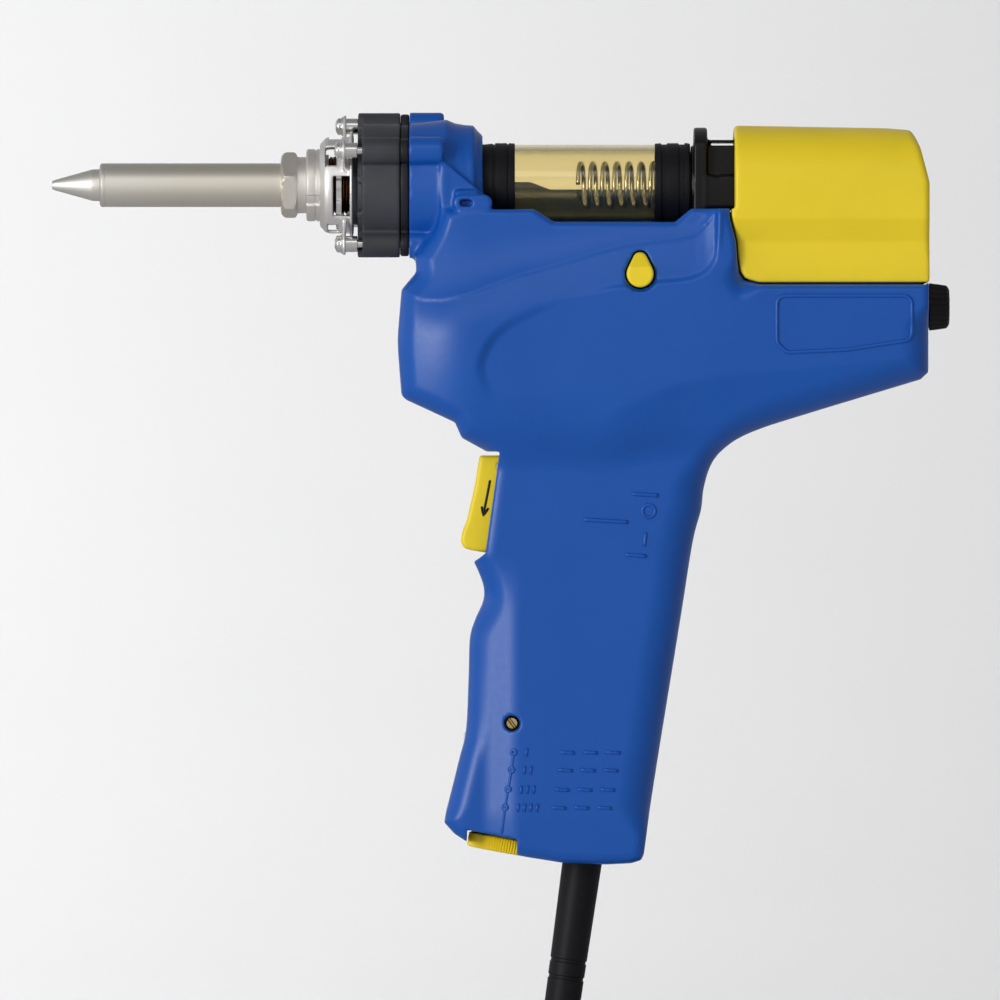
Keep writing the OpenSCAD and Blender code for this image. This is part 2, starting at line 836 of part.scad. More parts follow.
module plug_pins() {
    color("gold") translate(plug_at) rotate([0, plug_turn, 0]) {
        for (x = [-1, 1]) box(x * 6.3 - 0.75, x * 6.3 + 0.75, -6, 0, -58, -40);
        along_z(-60, -40, 2.3, 0, 4);
    }
}

nozzle();
heater_pipe();
pipe_nut();
heater_bush();
heater_cage();
heat_baffle();
heating_element();
suction_pipe();
cage_screws();
cage_spacers();
insulator_block();
insulator_plate();
housing_left();
housing_right();
housing_screws();
nose_seal();
filter_front_cap();
filter_tube();
filter_rear_cap();
solder_trap_coil();
filter_pad();
release_slide();
slide_spring();
slide_guide();
vacuum_hose();
rear_cover();
cover_knob();
latch_cam();
motor_can();
motor_bearings();
motor_end_bell();
motor_rotor();
motor_shaft();
eccentric();
connecting_rod();
pump_frame();
diaphragm();
pump_head();
pump_screws();
trigger();
trigger_pin();
trigger_spring();
vacuum_switch();
switch_plunger();
release_button();
button_spring();
power_switch();
power_rocker();
temperature_dial();
dial_pot();
lamp_lens();
trimmer_rotor();
control_board();
strain_relief();
power_cord();
cord_coil();
cord_tail();
cord_tie();
power_plug();
plug_pins();
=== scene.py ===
"""Looks of the desoldering gun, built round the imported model. Lengths in the shape code are
millimetres in the model's own frame: the nozzle points along -X, up is +Z, the left side faces -Y."""

import functools
import json
import math

import bmesh
import bpy
import numpy as np
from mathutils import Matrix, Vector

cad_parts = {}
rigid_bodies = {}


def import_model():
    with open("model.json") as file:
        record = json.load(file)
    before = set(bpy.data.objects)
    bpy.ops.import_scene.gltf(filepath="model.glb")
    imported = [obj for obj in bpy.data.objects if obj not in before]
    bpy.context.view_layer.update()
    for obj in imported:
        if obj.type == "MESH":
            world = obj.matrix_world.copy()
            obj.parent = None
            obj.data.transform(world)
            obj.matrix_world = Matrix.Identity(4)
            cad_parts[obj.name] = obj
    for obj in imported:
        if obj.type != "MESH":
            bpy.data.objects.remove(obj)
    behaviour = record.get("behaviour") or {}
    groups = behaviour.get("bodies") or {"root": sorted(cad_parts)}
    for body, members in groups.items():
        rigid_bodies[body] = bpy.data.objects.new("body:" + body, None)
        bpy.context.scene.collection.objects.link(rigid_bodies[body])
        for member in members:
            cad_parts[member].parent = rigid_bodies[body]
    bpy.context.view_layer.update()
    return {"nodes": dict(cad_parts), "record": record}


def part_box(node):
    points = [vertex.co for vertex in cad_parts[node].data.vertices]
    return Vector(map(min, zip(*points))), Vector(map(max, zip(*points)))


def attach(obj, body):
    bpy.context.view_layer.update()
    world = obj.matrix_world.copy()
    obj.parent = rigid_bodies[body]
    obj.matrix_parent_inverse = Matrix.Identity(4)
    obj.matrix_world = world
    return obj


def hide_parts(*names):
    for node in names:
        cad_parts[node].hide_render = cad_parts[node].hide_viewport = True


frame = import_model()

import openvdb
from mathutils import Matrix, Vector

MM = 0.001


def low(node, axis):
    """A CAD node's lowest coordinate along an axis, in millimetres."""
    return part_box(node)[0][axis] / MM


def high(node, axis):
    """A CAD node's highest coordinate along an axis, in millimetres."""
    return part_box(node)[1][axis] / MM


X, Z = 0, 2
AXIS_Z = (low("heater_pipe", Z) + high("heater_pipe", Z)) / 2     # common axis of heater and filter


# ---------------------------------------------------------------- materials

def new_material(name):
    material = bpy.data.materials.new(name)
    material.use_nodes = True
    shader = material.node_tree.nodes["Principled BSDF"]
    return material, shader


def add_node(material, kind, **inputs):
    """Adds a shader node; inputs are socket names with _ for spaces, or node attributes."""
    node = material.node_tree.nodes.new(kind)
    for key, value in inputs.items():
        socket = key.replace("_", " ")
        if socket in node.inputs:
            node.inputs[socket].default_value = value
        else:
            setattr(node, key, value)
    return node


def link(material, from_socket, to_socket):
    material.node_tree.links.new(from_socket, to_socket)


def object_noise(material, scale, detail=3.0, stretch=(1, 1, 1)):
    """A noise texture in object coordinates, in cycles per metre."""
    coords = add_node(material, "ShaderNodeTexCoord")
    mapping = add_node(material, "ShaderNodeMapping")
    mapping.inputs["Scale"].default_value = stretch
    link(material, coords.outputs["Object"], mapping.inputs["Vector"])
    noise = add_node(material, "ShaderNodeTexNoise", Scale=scale, Detail=detail)
    link(material, mapping.outputs["Vector"], noise.inputs["Vector"])
    return noise


def fill_ramp(ramp, stops):
    """Gives a colour ramp its stops, a rising list of (place, colour)."""
    elements = ramp.color_ramp.elements
    for index, (place, colour) in enumerate(stops):
        stop = elements[index] if index < 2 else elements.new(place)
        stop.position = place
        stop.color = (*colour, 1)


def mottle(material, shader, colour, scale, amount):
    """Varies the base colour a little, as moulded plastic and used metal do."""
    noise = object_noise(material, scale)
    ramp = add_node(material, "ShaderNodeValToRGB")
    dark = [c * (1 - amount) for c in colour]
    light = [min(1, c * (1 + amount)) for c in colour]
    fill_ramp(ramp, [(0.3, dark), (0.7, light)])
    link(material, noise.outputs["Fac"], ramp.inputs["Fac"])
    link(material, ramp.outputs["Color"], shader.inputs["Base Color"])


def rough_range(material, shader, scale, lowest, highest, stretch=(1, 1, 1)):
    """Varies the roughness between two values."""
    noise = object_noise(material, scale, stretch=stretch)
    spread = add_node(material, "ShaderNodeMapRange", To_Min=lowest, To_Max=highest)
    link(material, noise.outputs["Fac"], spread.inputs["Value"])
    link(material, spread.outputs["Result"], shader.inputs["Roughness"])


def grain(material, shader, scale, depth, stretch=(1, 1, 1)):
    """A bump from fine noise; depth is in metres."""
    noise = object_noise(material, scale, detail=2.0, stretch=stretch)
    bump = add_node(material, "ShaderNodeBump", Strength=0.6, Distance=depth)
    link(material, noise.outputs["Fac"], bump.inputs["Height"])
    link(material, bump.outputs["Normal"], shader.inputs["Normal"])


def plastic(name, colour, roughness=0.38, grain_depth=0.00003, amount=0.04, shine=0.4):
    material, shader = new_material(name)
    mottle(material, shader, colour, 60, amount)
    rough_range(material, shader, 900, roughness - 0.05, roughness + 0.06)
    grain(material, shader, 3200, grain_depth)
    shader.inputs["Specular IOR Level"].default_value = shine
    return material


def metal(name, colour, roughness):
    material, shader = new_material(name)
    shader.inputs["Metallic"].default_value = 1.0
    mottle(material, shader, colour, 120, 0.08)
    rough_range(material, shader, 500, roughness - 0.06, roughness + 0.08)
    grain(material, shader, 1500, 0.000012)
    return material


def tempered_steel(name):
    """Brushed stainless, straw-coloured along the heater pipe and bright at its ends."""
    material, shader = new_material(name)
    shader.inputs["Metallic"].default_value = 1.0
    coords = add_node(material, "ShaderNodeTexCoord")
    parts = add_node(material, "ShaderNodeSeparateXYZ")
    link(material, coords.outputs["Object"], parts.inputs["Vector"])
    along = add_node(material, "ShaderNodeMapRange", From_Min=low("nozzle", X) * MM,
                     From_Max=high("heater_cage", X) * MM)
    link(material, parts.outputs["X"], along.inputs["Value"])
    noise = object_noise(material, 160)
    mixed = add_node(material, "ShaderNodeMath", operation="MULTIPLY_ADD")
    mixed.inputs[1].default_value = 0.10
    link(material, noise.outputs["Fac"], mixed.inputs[0])
    link(material, along.outputs["Result"], mixed.inputs[2])
    ramp = add_node(material, "ShaderNodeValToRGB")
    fill_ramp(ramp, [(0.0, (0.80, 0.785, 0.765)), (0.22, (0.76, 0.73, 0.66)), (0.5, (0.74, 0.695, 0.60)),
                     (0.8, (0.74, 0.69, 0.60)), (1.0, (0.90, 0.88, 0.86))])
    link(material, mixed.outputs["Value"], ramp.inputs["Fac"])
    link(material, ramp.outputs["Color"], shader.inputs["Base Color"])
    rough_range(material, shader, 260, 0.40, 0.52, stretch=(12, 1, 1))
    grain(material, shader, 700, 0.00001, stretch=(14, 1, 1))
    return material


def clear(name, colour):
    material, shader = new_material(name)
    shader.inputs["Base Color"].default_value = (*colour, 1)
    shader.inputs["Transmission Weight"].default_value = 1.0
    shader.inputs["IOR"].default_value = 1.45
    rough_range(material, shader, 200, 0.03, 0.05)
    return material


MATERIALS = {
    "blue_plastic": plastic("blue_shell", (0.002, 0.092, 0.450), 0.34, 0.00002, 0.03, 0.42),
    "yellow_plastic": plastic("yellow_shell", (0.97, 0.73, 0.020), 0.42, 0.00003, 0.03, 0.4),
    "black_plastic": plastic("black_moulding", (0.005, 0.005, 0.006), 0.36, shine=0.26),
    "phenolic": plastic("black_phenolic", (0.045, 0.048, 0.055), 0.5, 0.00005, 0.25),
    "stainless": tempered_steel("tempered_steel"),
    "bright_steel": metal("bright_steel", (0.72, 0.71, 0.69), 0.2),
    "clear_amber": clear("amber_tube", (0.96, 0.86, 0.55)),
    "windings": metal("lacquered_windings", (0.16, 0.07, 0.035), 0.4),
    "rubber_black": plastic("black_rubber", (0.006, 0.006, 0.008), 0.5, 0.00004, 0.1, 0.2),
    "silicone": plastic("grey_silicone", (0.12, 0.12, 0.12), 0.6),
    "filter_felt": plastic("filter_felt", (0.7, 0.68, 0.6), 0.9, 0.0002, 0.12),
    "white_nylon": plastic("white_nylon", (0.75, 0.74, 0.7), 0.45),
    "motor_steel": metal("zinc_plated_steel", (0.5, 0.5, 0.52), 0.35),
    "copper_core": metal("rotor_core", (0.35, 0.16, 0.08), 0.4),
    "brass": metal("turned_brass", (0.72, 0.53, 0.24), 0.25),
    "lens_clear": plastic("lamp_lens", (0.75, 0.76, 0.74), 0.15),
    "circuit_board": plastic("green_board", (0.02, 0.16, 0.06), 0.3),
    "screw_black": metal("black_oxide", (0.03, 0.03, 0.03), 0.4),
}


# ---------------------------------------------------------------- mesh helpers

def smooth_faces(piece):
    piece.data.polygons.foreach_set("use_smooth", [True] * len(piece.data.polygons))


def finish_piece(piece, body, slot, nodes=(), sharp=None, material=None):
    """Links a new piece, gives it its finish and hangs it on a body.
    Edges that turn by more than sharp degrees are shaded as sharp ones."""
    bpy.context.scene.collection.objects.link(piece)
    piece.data.materials.append(material or MATERIALS[slot])
    if piece.type == "MESH":
        smooth_faces(piece)
    if sharp:
        piece.data.set_sharp_from_angle(angle=math.radians(sharp))
    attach(piece, body)
    if nodes:
        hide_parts(*nodes)


def mesh_piece(name, points, faces):
    """An object from points in millimetres and faces."""
    mesh = bpy.data.meshes.new(name)
    mesh.from_pydata((np.asarray(points, float) * MM).tolist(), [], [list(map(int, f)) for f in faces])
    mesh.validate()
    mesh.update()
    return bpy.data.objects.new(name, mesh)


def outward(piece):
    """Turns all faces of a piece outwards."""
    work = bmesh.new()
    work.from_mesh(piece.data)
    bmesh.ops.recalc_face_normals(work, faces=work.faces)
    work.to_mesh(piece.data)
    work.free()


def bevel(piece, width):
    """Rounds a piece's sharp edges for good; width in millimetres."""
    rounding = piece.modifiers.new("rounding", "BEVEL")
    rounding.width = width * MM
    rounding.segments = 3
    rounding.limit_method = "ANGLE"
    rounding.angle_limit = math.radians(35)
    rounding.harden_normals = False
    scene_pieces = bpy.context.scene.collection.objects
    scene_pieces.link(piece)
    bpy.context.view_layer.update()
    solved = piece.evaluated_get(bpy.context.evaluated_depsgraph_get())
    mesh = bpy.data.meshes.new_from_object(solved)
    piece.modifiers.clear()
    piece.data = mesh
    scene_pieces.unlink(piece)


def joined(name, pieces):
    """One object out of several meshes."""
    work = bmesh.new()
    for piece in pieces:
        work.from_mesh(piece.data)
    mesh = bpy.data.meshes.new(name)
    work.to_mesh(mesh)
    work.free()
    return bpy.data.objects.new(name, mesh)


def lathe(name, profile, segments=96, centre=(0, AXIS_Z), ripple=None):
    """A solid turned about a line along X; profile is a closed loop of (x, radius)."""
    points = []
    for step in range(segments):
        angle = 2 * math.pi * step / segments
        for x, radius in profile:
            r = radius + (ripple(x, radius, angle) if ripple else 0)
            points.append((x, centre[0] - r * math.cos(angle), centre[1] + r * math.sin(angle)))
    count = len(profile)
    faces = []
    for step in range(segments):
        after = (step + 1) % segments
        for k in range(count):
            k2 = (k + 1) % count
            faces.append((step * count + k, step * count + k2, after * count + k2, after * count + k))
    piece = mesh_piece(name, points, faces)
    outward(piece)
    return piece


def turned(name, corners, bore, **options):
    """A lathe piece from its outer corners (x, radius, rounding) and one bore radius."""
    outer = round_corners(corners, closed=False)
    x0, x1 = corners[0][0], corners[-1][0]
    return lathe(name, outer + [(x1, bore), (x0, bore)], **options)


def round_corners(corners, closed=True, step_degrees=15):
    """A list of (a, b) points through corners (a, b, radius), each corner turned by an arc."""
    points = []
    count = len(corners)
    for i, (px, pz, *rest) in enumerate(corners):
        radius = rest[0] if rest else 0
        if radius <= 0 or (not closed and i in (0, count - 1)):
            points.append((px, pz))
            continue
        before = Vector(corners[i - 1][:2]) - Vector((px, pz))
        after = Vector(corners[(i + 1) % count][:2]) - Vector((px, pz))
        angle = before.angle(after, math.pi)
        if angle > math.radians(179) or angle < math.radians(1):
            points.append((px, pz))
            continue
        reach = min(radius / math.tan(angle / 2), before.length * 0.49, after.length * 0.49)
        radius = reach * math.tan(angle / 2)
        start = Vector((px, pz)) + before.normalized() * reach
        end = Vector((px, pz)) + after.normalized() * reach
        centre = Vector((px, pz)) + (before.normalized() + after.normalized()).normalized() \
            * math.hypot(reach, radius)
        turn = math.pi - angle
        steps = max(2, math.ceil(math.degrees(turn) / step_degrees))
        from_centre = start - centre
        sign = 1 if from_centre.cross(end - centre) > 0 else -1
        for s in range(steps + 1):
            a = sign * turn * s / steps
            points.append((centre.x + from_centre.x * math.cos(a) - from_centre.y * math.sin(a),
                           centre.y + from_centre.x * math.sin(a) + from_centre.y * math.cos(a)))
    return points


def smooth_line(points, steps=8):
    """Points of a smooth curve through a list of points of any dimension."""
    points = [np.array(p, float) for p in points]
    out = []
    for i in range(len(points) - 1):
        a, b, c, d = points[max(i - 1, 0)], points[i], points[i + 1], points[min(i + 2, len(points) - 1)]
        for s in range(steps):
            t = s / steps
            out.append(0.5 * (2 * b + (c - a) * t + (2 * a - 5 * b + 4 * c - d) * t ** 2
                              + (3 * b - a - 3 * c + d) * t ** 3))
    out.append(points[-1])
    return out


def tube(name, route, radius, sides=12, closed=False):
    """A round wire along a list of points in millimetres."""
    route = [Vector(p) for p in route]
    count = len(route)
    points, faces = [], []
    side = None
    for i in range(count):
        if closed:
            ahead = route[(i + 1) % count] - route[i - 1]
        else:
            ahead = route[min(i + 1, count - 1)] - route[max(i - 1, 0)]
        ahead.normalize()
        if side is None:
            side = ahead.orthogonal().normalized()
        side = (side - ahead * side.dot(ahead)).normalized()
        other = ahead.cross(side)
        for k in range(sides):
            a = 2 * math.pi * k / sides
            points.append(route[i] + side * (radius * math.cos(a)) + other * (radius * math.sin(a)))
    rings = count if closed else count - 1
    for i in range(rings):
        j = (i + 1) % count
        for k in range(sides):
            k2 = (k + 1) % sides
            faces.append((i * sides + k, i * sides + k2, j * sides + k2, j * sides + k))
    if not closed:
        faces.append(tuple(range(sides))[::-1])
        faces.append(tuple((count - 1) * sides + k for k in range(sides)))
    piece = mesh_piece(name, points, faces)
    outward(piece)
    return piece


def round_axis(x, radius, angle):
    """The point at a radius and an angle round the axis of heater and filter."""
    return x, -radius * math.cos(angle), AXIS_Z + radius * math.sin(angle)


def leaned(x, z, place, lean):
    """Coordinates (across, up) along an axis that passes through place (x, z) and leans back."""
    dx, dz = x - place[0], z - place[1]
    return dx * math.cos(lean) - dz * math.sin(lean), dx * math.sin(lean) + dz * math.cos(lean)


def stand_up(piece, place, lean):
    """Moves a piece turned about X onto the leaning axis through place (x, z)."""
    piece.data.transform(Matrix.Translation(Vector((place[0], 0, place[1])) * MM)
                         @ Matrix.Rotation(lean, 4, "Y") @ Matrix.Rotation(math.radians(-90), 4, "Y"))


# ---------------------------------------------------------------- solids as distance fields

def union(*shapes):
    """All the shapes together."""
    return functools.reduce(np.minimum, shapes)


def common(*shapes):
    """What lies inside every one of the shapes."""
    return functools.reduce(np.maximum, shapes)


def without(shape, *cuts):
    """A shape with others cut out of it."""
    return np.maximum(shape, -union(*cuts))


def slab(v, lo, hi):
    """All that lies between two values of a coordinate."""
    return np.maximum(lo - v, v - hi)


def smooth_min(a, b, k):
    """Two shapes together, their joint filled by a blend about k wide."""
    h = np.clip(0.5 + 0.5 * (b - a) / k, 0, 1)
    return b * (1 - h) + a * h - k * h * (1 - h)


def smooth_max(a, b, k):
    """The common part of two shapes, its edge blended."""
    return -smooth_min(-a, -b, k)


def smooth_step(low_value, high_value, v):
    t = np.clip((v - low_value) / (high_value - low_value), 0, 1)
    return t * t * (3 - 2 * t)


def outline_distance(points, a, b):
    """Signed distance of the points (a, b) to a closed outline, negative inside."""
    nearest = np.full(np.broadcast(a, b).shape, 1e9)
    inside = np.zeros(nearest.shape, bool)
    for (ax, ab), (bx, bb) in zip(points, points[1:] + points[:1]):
        ex, eb = bx - ax, bb - ab
        length = ex * ex + eb * eb
        if length == 0:
            continue
        wa, wb = a - ax, b - ab
        t = np.clip((wa * ex + wb * eb) / length, 0, 1)
        nearest = np.minimum(nearest, (wa - ex * t) ** 2 + (wb - eb * t) ** 2)
        if eb != 0:
            crosses = (ab <= b) != (bb <= b)
            inside ^= crosses & (a < ax + (b - ab) * ex / eb)
    return np.where(inside, -1, 1) * np.sqrt(nearest)


def rounded_both(d1, d2, radius):
    """The part that is inside both shapes, its edge between them rounded."""
    q1, q2 = d1 + radius, d2 + radius
    return np.minimum(np.maximum(q1, q2), 0) + np.hypot(np.maximum(q1, 0), np.maximum(q2, 0)) - radius


def box_distance(x, y, z, lo, hi, radius=0.0):
    """A box between two corners, its edges rounded by radius."""
    qx = np.maximum(lo[0] - x, x - hi[0]) + radius
    qy = np.maximum(lo[1] - y, y - hi[1]) + radius
    qz = np.maximum(lo[2] - z, z - hi[2]) + radius
    outside = np.sqrt(np.maximum(qx, 0) ** 2 + np.maximum(qy, 0) ** 2 + np.maximum(qz, 0) ** 2)
    return outside + np.minimum(np.maximum(np.maximum(qx, qy), qz), 0) - radius


def capsule_distance(a, b, start, end, radius):
    """Flat capsule in two coordinates."""
    ea, eb = end[0] - start[0], end[1] - start[1]
    t = np.clip(((a - start[0]) * ea + (b - start[1]) * eb) / max(ea * ea + eb * eb, 1e-9), 0, 1)
    return np.hypot(a - start[0] - ea * t, b - start[1] - eb * t) - radius


def field_piece(name, lo, hi, cell, distance):
    """Meshes the zero surface of distance(x, y, z) over a box, all in millimetres."""
    cell = cell * 1.0
    axes = [np.arange(lo[k] - 2 * cell, hi[k] + 3 * cell, cell) for k in range(3)]
    x, y, z = axes[0][:, None, None], axes[1][None, :, None], axes[2][None, None, :]
    values = np.broadcast_to(distance(x, y, z), (len(axes[0]), len(axes[1]), len(axes[2])))
    values = np.clip(values, -3 * cell, 3 * cell).astype(np.float32)
    grid = openvdb.FloatGrid(3 * cell)
    grid.copyFromArray(np.ascontiguousarray(values))
    points, quads = grid.convertToQuads(0.0)
    points = points.astype(float) * cell + np.array([a[0] for a in axes])
    mesh = bpy.data.meshes.new(name)
    mesh.vertices.add(len(points))
    mesh.vertices.foreach_set("co", (points * MM).ravel())
    mesh.loops.add(len(quads) * 4)
    mesh.loops.foreach_set("vertex_index", quads.ravel().astype(np.int32))
    mesh.polygons.add(len(quads))
    mesh.polygons.foreach_set("loop_start", np.arange(0, len(quads) * 4, 4, dtype=np.int32))
    mesh.polygons.foreach_set("use_smooth", np.ones(len(quads), bool))
    mesh.update(calc_edges=True)
    mesh.validate()
    piece = bpy.data.objects.new(name, mesh)
    outward(piece)
    return piece


# ---------------------------------------------------------------- casing

DECK_Z = 84.3                                # seat of the rear cover
COVER_X = low("rear_cover", X)
NOSE_X = -41.8
HANDLE_HALF = 17.5
WALL = 2.2
PARTING = 0.06                               # half of the gap between the two shells
CAP_R = 10.0
TROUGH_R = CAP_R + 0.8
SCREW_ANGLES = [math.radians(29 + 90 * k) for k in range(4)]
SCREW_REACH = 16.2
# x and z of each casing screw, and the half width that its bore is measured from
SCREW_POSTS = [(-34.5, 89, 21), (68, 71, 23.5), (31, 62, 23.5), (14, 11, 16.2), (8.5, -43, 14)]
LUG_Z = 103.7
KNOB_Z = 79.3
LAMP_Z = -23.5
PIN_X, PIN_Z = -19.8, 41.2                   # trigger pin
TRIMMER_X, TRIMMER_Z = -17.4, -19.6
DIAL_PLACE, DIAL_TILT = (-18, -48.9), math.radians(10)
LEAD_FOOT, LEAD_LEAN = (-0.7, -53.1), math.radians(8)

front_line = round_corners([
    (-40.4, 91.5), (-40.1, 87.4, 1.5), (-43.6, 83.2, 1.2), (-44.6, 71, 30), (-43.6, 57.7, 2.2),
    (-31.0, 51.9, 1.2), (-29.4, 48.2, 1.5), (-23.4, 44.9)], closed=False)
grip_line = smooth_line([(-26.8, 19.4), (-25.2, 16), (-24.1, 12.5), (-24.3, 9.2), (-26.2, 4.8), (-27.4, 0.5),
                         (-27.7, -8), (-28.3, -21), (-30, -28.5), (-33.1, -40.9)], 5)
back_line = smooth_line([(14.2, -48.4), (15.5, -39), (18.2, -21.9), (21, -4.8), (23.3, 9.5), (25.6, 23.8),
                         (27.5, 31), (28.2, 36.5), (30.2, 42.4), (34.5, 46.8), (40.9, 50), (52, 53.6),
                         (79.4, 61.9)], 5)
BODY_OUTLINE = [tuple(p) for p in front_line + grip_line] + [
    (-33.5, -43.2), (-31, -45.9), (-28.2, -47.7), (-14.2, -51.3), (-5.4, -52.7), (4.9, -53.1), (10.9, -52.8),
    (13.2, -52.1), (13.9, -50.6)] + [tuple(p) for p in back_line] + [
    (81.2, 63.6), (81.2, DECK_Z + 0.6), (80.6, DECK_Z), (41, DECK_Z), (37.6, DECK_Z + 1.1), (36.4, 87.2),
    (35.9, 90), (35.6, 94.2), (34.2, 100.2), (34.2, 102.3), (25, 102.3), (21.2, 99.2), (-7.4, 99.2),
    (-12.2, 102.2), (-33.4, 102.2), (-35.6, 97.5)]

# the right side of the cradle stands higher behind the clear tube
cradle_start = BODY_OUTLINE.index((25, 102.3))
FAR_OUTLINE = BODY_OUTLINE[:cradle_start] + [
    (25, 107.4), (-8.3, 107.4), (-13, 109.4), (-33.4, 109.4), (-35.6, 97.5)]

RIDGE = [(-60, 82.6), (-43, 82.4), (-38.4, 80.7), (-34, 80.6), (-28.1, 81.7), (-15.5, 86.4), (-9.3, 88.1),
         (8.3, 93.3), (21.7, 95), (26, 96), (28.8, 98.6), (30.8, 101.5), (31.6, 140)]
PANEL = [tuple(p) for p in smooth_line([(-12, 44), (-16, 49.5), (-20.5, 54.5), (-24.3, 62), (-24.3, 67),
                                        (-20, 73.5), (-9.3, 79.2), (4, 83), (14, 84.6), (24.3, 85.6),
                                        (29.4, 88.4), (31.7, 94), (32.4, 100)], 6)] + [
    (32.6, 140), (120, 140), (120, 20), (-12, 20)]
LOWER_CREASE = [(-60, 40), (-24, 42), (-2.4, 49.3), (10, 56.2), (22.6, 61.4), (36, 63.5), (50, 64.5),
                (90, 68.6)]


def along(line, x):
    """Height of a line of (x, z) points at x."""
    return np.interp(x, [p[0] for p in line], [p[1] for p in line])


def side_half(x, z):
    """Half width of the casing at each point of the side view."""
    ridge_z = along(RIDGE, x)
    ridge_y = np.interp(x, [-44, -30, -10, 10, 28, 36], [22.6, 22.9, 21.8, 21.4, 22.0, 23.6])
    top_y = np.interp(x, [-44, -22, 0, 20, 31], [15.2, 16.2, 18.2, 19.6, 21.0])
    over = np.maximum(z - 71, 0)
    sink = np.interp(x, [-44, 6, 16, 32], [0.35, 0.35, 0.4, 0.5])
    bend = 2 * (25 - ridge_y + sink) / np.maximum(ridge_z - 71, 4) ** 2
    band = 25 - bend * over ** 2 / 2 - np.maximum(71 - z, 0) ** 2 / 150
    plate_y = np.interp(x, [-26, -12, 8, 30, 82], [23.7, 23.85, 24.4, 24.9, 24.6])
    plate = plate_y - np.maximum(z - 74, 0) ** 2 / 620 - np.maximum(64 - z, 0) ** 2 / 170
    rise = np.maximum(along(LOWER_CREASE, x) - z, 0)
    plate = plate - 0.34 * (np.sqrt(rise ** 2 + 1.0) - 1.0) * smooth_step(-6, 20, x)
    edge = outline_distance(PANEL, x, z)
    plate = plate + (band - plate) * smooth_step(62, 50, z) * smooth_step(14, -8, x)
    soft = np.interp(x, [-24, -6, 10], [1.4, 1.1, 0.75])
    body = plate + (band - plate) * smooth_step(-soft, soft, edge)
    up = z - ridge_z
    climb = np.clip(up / np.maximum(101 - ridge_z, 4), 0, 1)
    high_part = top_y + (ridge_y - top_y) * (1 - climb) ** 1.7
    body = body + (high_part - body) * smooth_step(-0.45, 0.35, up)
    front_drop = smooth_step(0, 10, -15.2 - x)
    grip = HANDLE_HALF - 2.6 * front_drop * smooth_step(24, 6, z) - 0.8 * smooth_step(-40, -53, z)
    body = body - 5.4 * (np.maximum(-26 - x, 0) / 17) ** 2
    near_grip = smooth_step(54, 34, z)
    body = body - 14 * near_grip * smooth_step(58, 30, z)
    return smooth_max(body, grip, 7.0)


def edge_radius(x, z):
    """How round the casing's edges are, at each point of the side view."""
    radius = 4.2 + (6.5 - 4.2) * smooth_step(20, 44, x)
    radius = radius + (8.5 - radius) * smooth_step(48, 34, z) * smooth_step(-14, 6, x)
    radius = radius + (5.5 - radius) * smooth_step(48, 40, z) * smooth_step(6, -14, x)
    radius = radius + (3.0 - radius) * smooth_step(-38, -48, z)
    radius = radius + (1.5 - radius) * smooth_step(84, 92, z) * smooth_step(-40, -28, x)
    radius = radius + (5.0 - radius) * smooth_step(80, 86, z) * smooth_step(-28, -40, x)
    return radius + (1.6 - radius) * smooth_step(74, 80, z) * smooth_step(36, 42, x)


def lobes(y, z, radius):
    """The four screw lobes round the heater's axis."""
    centres = [round_axis(0, SCREW_REACH, angle) for angle in SCREW_ANGLES]
    return union(*[np.hypot(y - ly, z - lz) - radius for _, ly, lz in centres])


def cradle_lugs(x, y, z):
    """The two lugs at the front of the filter's cradle, each a tongue over a block."""
    tongue = capsule_distance(x, z, (-29.4, LUG_Z), (-24.0, LUG_Z), 1.95)
    lug = rounded_both(tongue, np.abs(y) - 18.2, 0.7)
    lug = union(lug, box_distance(x, np.abs(y), z, (-31.0, 10, 103), (-25.2, 17.2, 106.8), 0.9))
    return np.maximum(lug, 10 - np.abs(y))


def casing_solid(x, y, z):
    """The casing as one closed solid, before it is hollowed."""
    outline = np.where(y < 0, outline_distance(BODY_OUTLINE, x, z), outline_distance(FAR_OUTLINE, x, z))
    solid = rounded_both(outline, np.abs(y) - side_half(x, z), edge_radius(x, z))
    away = np.hypot(y, z - AXIS_Z)
    shoulder = np.interp(x, [-42, -34.5, -33, -31, -28.4, -26.6, -25.6, -24.6, -24.3],
                         [14.5, 15.4, 15.6, 14.7, 14.3, 14.2, 12.9, 12.0, 11.7])
    nose = common(away - shoulder, x + 24.3)
    collar = smooth_min(common(away - 14.6, np.abs(y) - 14.3), lobes(y, z, 3.3), 0.8)
    collar = rounded_both(collar, slab(x, -60, -33.6), 0.8)
    cheek_top = np.interp(x, [-34.5, -25], [114.4, 106.6])
    cheek = smooth_max(common(np.abs(y) - 15.6, z - cheek_top), slab(x, -34.4, -24.3), 0.8)
    cheek = common(cheek, 92 - z)
    nose = smooth_min(smooth_min(nose, collar, 0.6), cheek, 0.8)
    solid = smooth_min(solid, common(nose, NOSE_X - x), 1.4)
    solid = smooth_min(solid, cradle_lugs(x, y, z), 0.8)
    return np.maximum(solid, np.minimum(NOSE_X - x, z - 90.5))


def across_trough(y, z):
    """Distance from the filter's axis below it, and from the middle plane above it."""
    return np.where(z > AXIS_Z, np.abs(y), np.hypot(y, z - AXIS_Z))


def casing_cavity(x, y, z, solid):
    """The hollow inside of the casing."""
    away = np.hypot(y, z - AXIS_Z)
    trough_floor = common(across_trough(y, z) - TROUGH_R - 1.8, -24 - x)
    deck = np.where(x > 34, z - (DECK_Z - WALL), -1e9)
    inside = common(solid + WALL, -trough_floor, deck)
    return union(inside, common(away - 10.9, slab(x, -60, -39)), common(away - 8.4, slab(x, -60, -29)))


